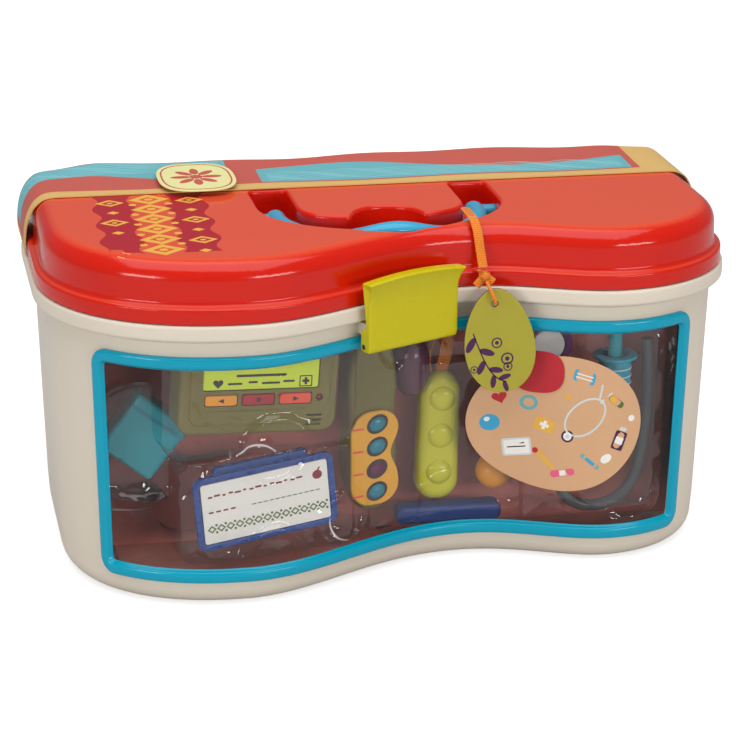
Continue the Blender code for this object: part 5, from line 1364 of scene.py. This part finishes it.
def make_tray():
    """The clear tray: one formed sheet that swells over each toy, with its ribs."""
    places = spread(-CARD_HALF, CARD_HALF, 290)
    heights = spread(TRAY_LOW, TRAY_HIGH, 124)
    limits = []
    for x in places:
        ends = [wall_point(run_at(x, z), z, -WALL).y + 0.004 for z in (0.01, 0.12)]
        limits.append(ends)
    grid = np.zeros((len(heights), len(places)))
    for row, z in enumerate(heights):
        for column, x in enumerate(places):
            climb = clamp(min(CARD_HALF - abs(x), z - TRAY_LOW, TRAY_HIGH - z) / 0.006)
            front = TRAY_BACK
            for number, (mid_x, mid_z, half_x, half_z, face_y) in enumerate(POCKETS):
                beyond = sqrt(max(abs(x - mid_x) - half_x, 0.0) ** 2
                              + max(abs(z - mid_z) - half_z, 0.0) ** 2)
                share = clamp(1.0 - (beyond - 0.007) / 0.0065)
                share = share * share * (3.0 - 2.0 * share)
                across = max(-half_x, min(half_x, x - mid_x))
                face = face_y + across * tan(radians(POCKET_TURNS.get(number, 0.0))) - 0.0015
                front = min(front, TRAY_BACK + (face - TRAY_BACK) * share)
            for mid_x, mid_z, reach in RIDGES:
                off = (sqrt((x - mid_x) ** 2 + (z - mid_z) ** 2) - reach) / 0.0021
                front -= 0.0026 * bell(off * off)
            for mid_x, mid_z in BLISTERS:
                near = ((x - mid_x) ** 2 + (z - mid_z) ** 2) / 0.0072 ** 2
                if near < 4.0:
                    front -= 0.0024 * bell(near)
            # The sheet's own crinkled relief, in its shape.
            crease_and_painted_glint = abs(noise.noise((x * 75.0, z * 75.0, 3.0)))
            crease_and_painted_glint += 0.45 * abs(noise.noise((x * 210.0, z * 210.0, 9.0)))
            front -= 0.0014 * crease_and_painted_glint
            low, high = limits[column]
            front = max(front, low + (high - low) * (z - 0.01) / 0.11)
            grid[row, column] = TRAY_BACK + (front - TRAY_BACK) * climb

    def tray_at(column, row, lift):
        return Vector((places[int(column)], grid[int(round(row)), int(column)] - lift,
                       heights[int(round(row))]))

    shape = sheet(Shape(), list(range(len(places))), lambda u: 0.0,
                  lambda u: float(len(heights) - 1), tray_at, 0.0, 0.0006, rows=len(heights) - 1)
    tray = piece("clear_tray", shape, "tray", "tub", ["blister_tray"],
                 angle=60.0, even_light=False)
    tray.visible_shadow = False
    make_painted_glint_arcs(places, heights, grid)


def make_painted_glint_arcs(places, heights, grid):
    """Painted highlights: pale arcs laid on the clear sheet, standing for the glints along its
    bends.
    """
    shape = Shape()

    def on_tray(x, z):
        column = min(max(bisect_left(places, x), 0), len(places) - 1)
        row = min(max(bisect_left(heights, z), 0), len(heights) - 1)
        return grid[row, column] - 0.0007

    for mid_x, mid_z, reach, start, stop in PAINTED_GLINT_ARCS:
        rings = []
        for step in range(31):
            turn = radians(start + (stop - start) * step / 30.0)
            wide = 0.00042 * sin(pi * (step + 0.6) / 31.2) + 0.0001
            marks = []
            for side, lift in ((-1, 0.0), (1, 0.0), (1, 0.0003), (-1, 0.0003)):
                x = mid_x + (reach + side * wide) * cos(turn)
                z = max(mid_z + (reach + side * wide) * sin(turn), 0.007)
                marks.append((x, on_tray(mid_x + reach * cos(turn), z) - lift, z))
            rings.append(marks)
        shape.loft(rings)
    painted_glints = piece("tray_painted_glints", shape, "crease_and_painted_glint", "tub")
    painted_glints.visible_shadow = False


def make_card_flap():
    """The card's foot, which folds forward over the tub's floor. It is painted paler and pinker
    than the standing card: painted light.
    """
    marks = spread(-0.132, 0.132, 120)
    fronts = {x: wall_point(run_at(x, 0.006), 0.006, -WALL).y + 0.0085 for x in marks}
    flap = sheet(Shape(), marks, lambda x: fronts[x], lambda x: CARD_FOLD_Y,
                 lambda x, y, lift: Vector((x, y, 0.0036 + lift + 0.006
                                            * (CARD_FOLD_Y - y) / 0.09)), 0.0, 0.0007, rows=8)
    piece("card_flap", flap, "flap", "tub")


# Paint, form, its sizes in mm and any count of points, place in mm, turn, layer, and the
# sizes of a hole
STICKER_MARKS = [
    ("flag", heart, (3.4,), -29.0, 12.0, 0.3), ("sky_print", oval, (4.4, 4.2), -33.0, -1.0),
    ("card", oval, (1.3, 1.1), -34.3, 0.7, 0.5, 2),
    ("bead", round_box, (6.6, 4.5, 1.2), -21.0, -13.0, 0.12),
    ("card", round_box, (5.6, 3.6, 0.6), -21.0, -13.0, 0.12, 1),
    ("dark_print", round_box, (3.6, 0.3, 0.2, 2), -21.2, -11.2, 0.12, 2),
    ("dark_print", round_box, (4.2, 0.3, 0.2, 2), -21.2, -13.0, 0.12, 2),
    ("dark_print", round_box, (2.6, 0.3, 0.2, 2), -21.2, -14.8, 0.12, 2),
    ("teal_print", oval, (4.2, 3.8), -16.0, 10.0, 0.0, 0, (2.6, 2.3)),
    ("pink_print", round_box, (6.2, 1.8, 1.7), 1.0, -25.0, 0.18),
    ("card", round_box, (1.6, 1.3, 0.4), 1.0, -25.0, 0.18, 1),
    ("yellow_print", round_box, (4.8, 3.4, 0.8), -8.5, -1.0, -0.35),
    ("card", plus, (2.2, 0.8), -8.5, -1.0, -0.35, 1),
    ("yellow_print", round_box, (1.1, 6.6, 1.0), -8.0, -18.5, 0.75),
    ("flag", oval, (1.4, 1.4), -12.6, -14.2, 0.0, 1),
    ("purple_print", round_box, (3.4, 4.8, 1.0), 31.0, -8.0, -0.35),
    ("card", round_box, (2.2, 1.8, 0.5), 31.0, -8.0, -0.35, 1),
    ("bead", round_box, (2.0, 0.9, 0.5), 33.1, -2.3, -0.35),
    ("bead", oval, (12.5, 8.2, 60), 12.0, 4.0, 0.7, 0, (11.5, 7.2, 60)),
    ("purple_print", oval, (3.1, 3.1), 3.0, -6.0), ("card", oval, (2.1, 2.1), 3.0, -6.0, 0.0, 1),
    ("bead", oval, (1.0, 1.0, 20), 3.0, -6.0, 0.0, 2),
    ("bead", round_box, (0.5, 4.2, 0.4, 3), 22.8, 14.0, -0.9),
    ("bead", round_box, (0.5, 4.2, 0.4, 3), 19.8, 16.8, -0.2),
    ("sky_print", round_box, (5.6, 3.0, 1.4), 11.0, 24.5, -0.25),
    ("card", round_box, (4.4, 0.3, 0.2, 2), 11.2, 25.3, -0.25, 1),
    ("card", round_box, (4.4, 0.3, 0.2, 2), 10.7, 23.6, -0.25, 1),
    ("teal_print", round_box, (1.2, 6.0, 1.1), 15.0, -18.5, 0.95),
    ("sky_print", round_box, (3.0, 0.9, 0.8), 15.0, -18.5, -0.62, 1),
    ("green_print", round_box, (4.6, 1.7, 1.6), 28.5, 12.0, -0.6),
    ("yellow_print", round_box, (2.2, 1.6, 1.4), 26.8, 13.2, -0.6, 1),
    ("card", oval, (3.2, 2.2), 24.0, -17.0, 0.4), ("card", oval, (1.8, 1.6), 37.5, 3.0),
    ("yellow_print", oval, (1.4, 1.4), 3.0, 14.0)]


def scaled(sizes):
    """Lengths in millimetres as metres; whole numbers are counts and stay."""
    return [round(size / 1000.0, 8) if isinstance(size, float) else size for size in sizes]


STICKER_Z = 0.0706


def make_sticker():
    middle = run_at(0.0757, STICKER_Z) + 0.0022

    def pane_at(u, v, lift):
        return wall_point(middle + u, STICKER_Z + v, -0.0001 + lift)

    def ellipse(half_w, half_h, at_u=0.0, at_v=0.0, squareness=2.0):
        def edge(side):
            return lambda u: at_v + side * half_h * max(
                1.0 - abs((u - at_u) / half_w) ** squareness, 0.0004) ** (1.0 / squareness)
        marks = [at_u - half_w * cos(pi * step / 64.0) for step in range(65)]
        return marks, edge(-1), edge(1)

    oval_shape = sheet(Shape(), *ellipse(0.0432, 0.0344), pane_at, 0.0, 0.0003)
    piece("sticker_oval", oval_shape, "sticker", "tub", ["window_sticker"])
    flag_u = run_at(0.0668, 0.0965) - middle
    flag = sheet(Shape(), *ellipse(0.0122, 0.0105, flag_u, 0.0259, 2.6), pane_at, 0.0006, 0.0009)
    piece("sticker_flap", flag, "flag", "tub", ["sticker_flag"])
    groups = {}

    def mark(name, outline, u, v, turn=0.0, layer=0, inner=None):
        shape = groups.setdefault(name, Shape())
        low, high = 0.0002 + 0.00004 * layer, 0.00036 + 0.00006 * layer
        if inner:
            hoop(shape, outline, inner, pane_at, (u, v), turn, low, high)
        else:
            inlay(shape, outline, pane_at, (u, v), turn, low, high)

    for name, form, sizes, u, v, *rest in STICKER_MARKS:
        turn, layer, hole = (*rest, *(0.0, 0, None)[len(rest):])
        mark(name, form(*scaled(sizes)), *scaled((u, v)), turn, layer,
             form(*scaled(hole)) if hole else None)
    for name, shape in groups.items():
        piece("sticker_marks_" + name, shape, name, "tub")


PRINTED = (0.0, 0.0006, 0.00078)
KEY_PITCH = 0.0178
KEY_ROW_Z = -0.0035


def make_pager():
    rings = []

    def step_ring(half_x, half_z, corner, out, lift=0.0):
        rings.append([PAGER(x, z + lift, out) for x, z in round_box(half_x, half_z, corner, 10)])

    step_ring(0.0362, 0.0192, 0.0052, -0.019)
    step_ring(0.038, 0.021, 0.007, -0.0172)
    for turn in spread(0.0, QUARTER_TURN, 6):
        eased = 0.0026 * (1.0 - cos(turn))
        step_ring(0.038 - eased, 0.021 - eased, 0.007 - eased, -0.0026 + 0.0026 * sin(turn))
    step_ring(0.0336, 0.0173, 0.0046, 0.0001, 0.0016)
    step_ring(0.0332, 0.0169, 0.0043, 0.001, 0.0016)
    step_ring(0.0326, 0.0163, 0.004, 0.0012, 0.0016)
    shape = Shape().loft(rings[::-1])
    cuts = [stamp(round_box(0.0279, 0.0089, 0.0012), PAGER, (0.0, 0.01), 0.0, -0.0013, 0.005)]
    for number in (-1, 0, 1):
        cuts.append(stamp(round_box(0.008, 0.0029, 0.0012), PAGER,
                          (-0.001 + number * KEY_PITCH, KEY_ROW_Z), 0.0, -0.0031, 0.005))
    for number in range(3):
        cuts.append(stamp(round_box(0.0038, 0.00055, 0.0005, 4), PAGER,
                          (0.0265, -0.012 - 0.0024 * number), 0.0, -0.0014, 0.005))
    cuts.append(stamp(oval(0.0018, 0.0018, 24), PAGER, (0.0285, KEY_ROW_Z), 0.0, -0.0019, 0.005))
    cuts.append(stamp(round_box(0.024, 0.0003, 0.0002, 3), PAGER, (-0.002, -0.0086),
                      0.0, 0.0008, 0.005))
    piece("pager_shell", shape, "olive", "tub", ["pager_case"], bevel=0.00025,
          steps=2, cuts=cuts)
    screen = stamp(round_box(0.0276, 0.0086, 0.001), PAGER, (0.0, 0.01), 0.0, -0.0011, 0.0007)
    piece("pager_display", screen, "screen", "tub", ["pager_screen"],
          bevel=0.0002, steps=2)
    marks = Shape()
    inlay(marks, heart(0.0024), PAGER, (-0.0205, 0.0045), *PRINTED)
    hoop(marks, round_box(0.0031, 0.0027, 0.0006), round_box(0.0026, 0.0022, 0.0004), PAGER,
         (0.0215, 0.0046), *PRINTED)
    inlay(marks, plus(0.0017, 0.0006), PAGER, (0.0215, 0.0046), *PRINTED)
    for number, wide in enumerate((0.0034, 0.0022, 0.0044, 0.0028)):
        inlay(marks, round_box(wide, 0.0005, 0.0004, 3), PAGER,
              (-0.0125 + 0.0086 * number, 0.0042 + 0.0006 * (number % 2)), *PRINTED)
    inlay(marks, round_box(0.012, 0.0006, 0.0005, 3), PAGER, (0.0, 0.008), *PRINTED)
    piece("pager_marks", marks, "dark_print", "tub")
    light = Shape()
    dome(light, oval(0.0014, 0.0014, 24), PAGER, (0.0285, KEY_ROW_Z), -0.0002, 0.001)
    piece("pager_lamp", light, "ruby", "tub", ["pager_light"])
    arrows = ([(0.0012, -0.0011), (0.0012, 0.0011), (-0.0016, 0.0)],
              [(0.0009, -0.0009), (0.0009, 0.0009), (-0.0009, 0.0009), (-0.0009, -0.0009)],
              [(-0.0012, 0.0011), (-0.0012, -0.0011), (0.0016, 0.0)])
    for number, name in enumerate(("amber", "crimson", "coral")):
        shift = (-0.001 + (number - 1) * KEY_PITCH, KEY_ROW_Z)
        body = "button_" + str(number + 1)
        key = stamp(round_box(0.0076, 0.0025, 0.0011), PAGER, shift, 0.0, -0.0016, 0.0018)
        piece("pager_key_" + str(number + 1), key, name, body, ["pager_" + body],
              bevel=0.0007)
        mark = stamp(arrows[number], PAGER, shift, 0.0, 0.0017, 0.00188)
        piece("pager_arrow_" + str(number + 1), mark, "dark_print", body)


def make_badge():
    frame_shape = stamp(round_box(0.03475, 0.01825, 0.0045, 8), BADGE, low=-0.003, high=0.0)
    well = stamp(round_box(0.03175, 0.01525, 0.0016), BADGE, low=-0.0015, high=0.004)
    piece("badge_border", frame_shape, "badge_blue", "tub", ["badge_frame"],
          bevel=0.0009, cuts=[well])
    card = stamp(round_box(0.03135, 0.01485, 0.0012), BADGE, low=-0.0012, high=-0.0006)
    piece("badge_paper", card, "card", "tub", ["badge_card"])
    clip = stamp(round_box(0.018, 0.008, 0.0045, 8), BADGE, (0.0, 0.0127), 0.0, -0.0073, -0.0033)
    inlay(clip, round_box(0.0235, 0.003, 0.0028, 8), BADGE, (0.0, 0.018), 0.0, -0.0068, -0.0028)
    piece("badge_holder", clip, "badge_blue", "tub", ["badge_clip"], bevel=0.0009)
    low, high = -0.0007, -0.00048
    berry, olive = Shape(), Shape()
    for number in range(14):
        wide = (0.0011, 0.0016, 0.0008)[number % 3]
        inlay(berry, round_box(wide, 0.00045, 0.0004, 3), BADGE,
              (-0.027 + 0.0034 * number, 0.0082 + 0.0004 * (number % 2)), 0.0, low, high)
    inlay(berry, oval(0.0024, 0.0022, 32), BADGE, (0.0262, 0.008), 0.0, low, high)
    inlay(berry, oval(0.0011, 0.0004, 16), BADGE, (0.027, 0.0108), 0.9, low, high)
    for number in range(12):
        inlay(olive, round_box(0.0011, 0.00022, 0.0002, 2), BADGE,
              (-0.006 + 0.0029 * number, 0.0004), 0.0, low, high)
    for number in range(4):
        inlay(berry, round_box(0.0012, 0.0004, 0.0003, 3), BADGE,
              (-0.0272 + 0.0036 * number, 0.0006), 0.0, low, high)
    for number in range(13):
        x = -0.0276 + 0.0046 * number
        hoop(olive, diamond(0.0022, 0.0019), diamond(0.0013, 0.0011), BADGE, (x, -0.0078),
             0.0, low, high)
        inlay(olive, oval(0.0006, 0.0006, 12), BADGE, (x + 0.0023, -0.006), 0.0, low, high)
        inlay(olive, oval(0.0006, 0.0006, 12), BADGE, (x + 0.0023, -0.0096), 0.0, low, high)
    piece("badge_dashes", berry, "berry_dark", "tub")
    piece("badge_chain", olive, "green_print", "tub")


def make_handset():
    outline = []
    for turn in around(96):
        z = 0.045 * sin(turn)
        squeeze = 1.0 - 0.1286 * (0.5 + 0.5 * cos(2.0 * pi * z / 0.045))
        outline.append((0.014 * signed_power(cos(turn), 0.55) * squeeze, z))
    body = stamp(outline, HANDSET, low=-0.0135, high=0.0)
    piece("handset_shell", body, "olive", "tub", ["handset_body"], bevel=0.003, steps=4)
    plate = even(round_box(0.0128, 0.0238, 0.0105, 12), 160, closed=True)
    shape = [(p.x * (1.0 - 0.34 * bell(((p.y - 0.002) / 0.0075) ** 2))
              if p.x > 0 else p.x, p.y) for p in plate]
    base, front = 0.0003, 0.0023
    gold = stamp(shape, HANDSET, (0.0, -0.0175), 0.0, base, front)
    piece("handset_face", gold, "gold", "tub", ["handset_plate"], bevel=0.0008)
    gem_shade_rings, slot_shade_bars = Shape(), Shape()
    for number in range(4):
        z = -0.0172 + (1.5 - number) * 0.01135
        lean = placed(oval(0.0044, 0.0034, 40), (0.0, 0.0), 0.35)
        wide = [(u * 1.3, v * 1.36) for u, v in lean]
        # Painted shade: a dark ring round the gem, standing for its shaded recess.
        hoop(gem_shade_rings, wide, [(u * 0.97, v * 0.97) for u, v in lean], HANDSET, (0.0008, z), 0.0,
             front - 0.0006, front + 0.0002)
        gem = dome(Shape(), lean, HANDSET, (0.0008, z), front, 0.0017)
        name = "plum" if number == 2 else "teal"
        piece("handset_jewel_" + str(number + 1), gem, "gem_" + name, "tub",
              ["handset_gem_" + str(number + 1)])
        # Painted shade: a coral bar standing for the shaded moulded slot at the gem's left.
        inlay(slot_shade_bars, round_box(0.0028, 0.0005, 0.0004, 3), HANDSET, (-0.0092, z - 0.0014), 0.0,
              front - 0.0005, front + 0.0001)
    piece("handset_gem_shade_rings", gem_shade_rings, "dark_print", "tub")
    piece("handset_slot_shade", slot_shade_bars, "coral", "tub")


def make_stick():
    outline = []
    for x, z in round_box(0.0105, 0.0305, 0.0098, 14):
        narrow = 1.0 - 0.16 * max(z / 0.0305, 0.0) ** 2
        outline.append((x * narrow, z * (1.15 if z > 0 else 1.0)))
    body = stamp(outline, STICK, low=-0.015, high=0.0)
    item = body.item("stick_body")
    ease(item, 0.0052, 6)
    for number in (-1, 0, 1):
        bump = Shape()
        profile = mm([
            (6.2, -1.2), (6.2, 0.1), (5.8, 0.6), (5.2, 1.1), (4.3, 1.7), (3.0, 2.1), (1.5, 2.3),
            (0.3, 2.4)])
        bump.loft([[STICK(reach * cos(-turn), number * 0.0187 + 0.0034 + reach * sin(-turn), rise)
                    for turn in around(40)] for reach, rise in profile])
        carve(item, bump.item("bump"), "UNION")
    piece("stick_body", item, "lime", "tub", ["thermometer_stick"], angle=50.0)
    lace = [(x, y - 0.001, z) for x, y, z in LACE_POINTS]
    shape, _ = strap(lace, 0.0062, 0.0012, 40)
    left = mm([
        (21.5, -30.0, 87.2), (19.6, -30.2, 94.0), (20.0, -30.2, 101.0), (22.8, -30.2, 108.0),
        (26.2, -30.2, 113.0)])
    thin, _ = strap(left, 0.0011, 0.0009, 30)
    piece("stick_strap", shape.join(thin), "orange", "tub", ["stick_lace"])


def make_small_toys():
    face = Face((-0.1205, -0.045, 0.0735), (0.0, radians(38.0), 0.0))
    block = stamp(round_box(0.015, 0.016, 0.0022, 6), face, low=-0.008, high=0.008)
    piece("block_body", block, "teal", "tub", ["teal_block"], bevel=0.0024, steps=4)
    trim = stamp(round_box(0.015, 0.0008, 0.0007, 3), face, (0.0, 0.0095), 0.0, 0.0078, 0.0083)
    piece("block_seam", trim, "gem_teal", "tub")
    ball = Shape()
    ball.turned([(0.0088 * sin(pi * step / 30.0) * (0.985 if step == 15 else 1.0),
                  -0.0088 * cos(pi * step / 30.0)) for step in range(1, 30)], 48)
    ball.moved((0.052, -0.0304, 0.0378), (0.5, 0.3, 0.0))
    piece("hammer_ball", ball, "amber", "tub", ["hammer_head"], angle=60.0)
    face = Face((0.029, -0.0376, 0.019))
    pouch = stamp(round_box(0.026, 0.0045, 0.0036, 6), face, low=-0.011, high=0.0)
    piece("pouch_body", pouch, "navy", "tub", ["navy_pouch"], bevel=0.002, steps=3)
    bulb = Shape()
    profile = mm([
        (1.2, -15.0), (4.0, -14.3), (6.6, -11.0), (8.2, -6.0), (8.8, 0.0), (8.4, 6.0),
        (6.6, 10.5), (4.2, 12.8), (3.4, 15.0), (4.2, 16.8), (4.2, 19.0), (3.0, 20.0)])
    bulb.turned([tuple(p) for p in flow([Vector(p) for p in profile], 40)], 40)
    bulb.moved((0.0098, -0.033, 0.0955))
    piece("pump_bulb", bulb, "plum_soft", "tub", angle=60.0)
    face = Face((0.074, -0.043, 0.1055))
    ring_shape = hoop(Shape(), oval(0.0125, 0.0125, 64), oval(0.0086, 0.0086, 64), face,
                      low=-0.009, high=0.0008)
    inlay(ring_shape, oval(0.01, 0.01, 64), face, low=-0.009, high=-0.0012)
    piece("chest_ring", ring_shape, "plum", "tub", ["stethoscope_ring"], bevel=0.0008)
    disc = stamp(oval(0.008, 0.008, 64), face, low=-0.0012, high=0.0025)
    piece("chest_disc", disc, "white", "tub", ["stethoscope_disc"], bevel=0.001)
    tube, _ = strap(TUBE_POINTS, 0.0058, 0.0058, 160, 24, (0.0, 1.0, 0.0))
    piece("chest_tube", tube, "smoke", "tub", ["stethoscope_tube"])
    place = (0.107, -0.0455, 0.078)
    barrel = Shape().turned(mm([
            (2.7, -26.0), (3.5, -25.8), (3.5, -22.2), (6.0, -21.8), (7.4, -20.8), (7.8, -19.5),
            (7.8, 19.6), (8.2, 20.0), (10.4, 20.1), (10.8, 20.6), (10.8, 21.3), (10.4, 21.7),
            (6.6, 21.7), (6.6, -20.8)]), 48).moved(place)
    piece("barrel_body", barrel, "aqua", "tub", ["syringe_barrel"])
    scale = Shape()
    for number in range(9):
        mark = Shape().turned([(0.00785, -0.0002), (0.0081, -0.0002), (0.0081, 0.0002),
                               (0.00785, 0.0002)], 40)
        mark.moved((0.0, 0.0, -0.015 + 0.0038 * number))
        scale.join(mark.moved(place))
    piece("barrel_scale", scale, "white", "tub")
    plunger = Shape().turned(mm([
            (5.6, -8.5), (6.2, -8.0), (6.2, -5.0), (5.6, -4.5), (3.2, -4.4), (3.2, 34.2),
            (8.6, 34.4), (9.2, 34.8), (9.2, 35.6), (8.6, 36.0)]), 48).moved(place)
    piece("plunger_body", plunger, "teal", "plunger", ["syringe_plunger"])


def make_tag_print():
    face = Face((0.0, TAG_FRONT, 0.0))
    purple = Shape()
    low, high = -0.0001, 0.00008

    def stem(share):
        return Vector((0.0322 + 0.0165 * share, 0.12 - 0.0245 * share - 0.006 * sin(pi * share)))

    def stem_at(share, across, lift):
        way = (stem(share + 0.01) - stem(share - 0.01)).normalized()
        place = stem(share) + Vector((-way.y, way.x)) * across
        return face(place.x, place.y, lift)

    sheet(purple, spread(0.0, 1.0, 40), lambda share: -0.0003, lambda share: 0.0003,
          stem_at, low, high)
    for number in range(7):
        share = 0.05 + 0.145 * number
        side = 1 if number % 2 else -1
        way = stem(share + 0.01) - stem(share - 0.01)
        turn = atan2(way.y, way.x) + side * 0.85
        long = 0.004 - 0.0002 * number
        place = stem(share) + Vector((cos(turn), sin(turn))) * long
        inlay(purple, oval(long, long * 0.42, 32), face, tuple(place), turn, low, high)
    for share, across, reach in ((0.2, 0.0088, 0.0026), (0.52, 0.0098, 0.003),
                                 (0.84, 0.0072, 0.0022), (0.38, -0.0062, 0.0018)):
        place = stem_at(share, across, 0.0)
        shift = (place.x, place.z)
        hoop(purple, oval(reach, reach, 32), oval(reach * 0.76, reach * 0.76, 32), face, shift,
             0.0, low, high)
        inlay(purple, oval(reach * 0.36, reach * 0.36, 16), face, shift, 0.0, low, high)
    piece("tag_sprig", purple, "purple_print", "handle")


# ---- run

make_camera()
make_ribbon()
make_stage()
make_lights()
make_tub()
make_window()
make_latch()
make_lid()
make_handle()
make_sleeve()
make_lid_print()
make_tray()
make_card_flap()
make_sticker()
make_pager()
make_badge()
make_handset()
make_stick()
make_small_toys()
make_tag_print()

# The latch pin is painted dark olive: painted shade for the shaded eye of the latch.
SLOT_OF = {"backing_card": "maroon", "latch_pin": "pin_painted_shade", "hinge_pin_left": "steel",
           "hinge_pin_right": "steel"}
for node_name, paint_name in SLOT_OF.items():
    slots = NODES[node_name].material_slots
    for number in range(len(slots)):
        slots[number].material = PAINT[paint_name]
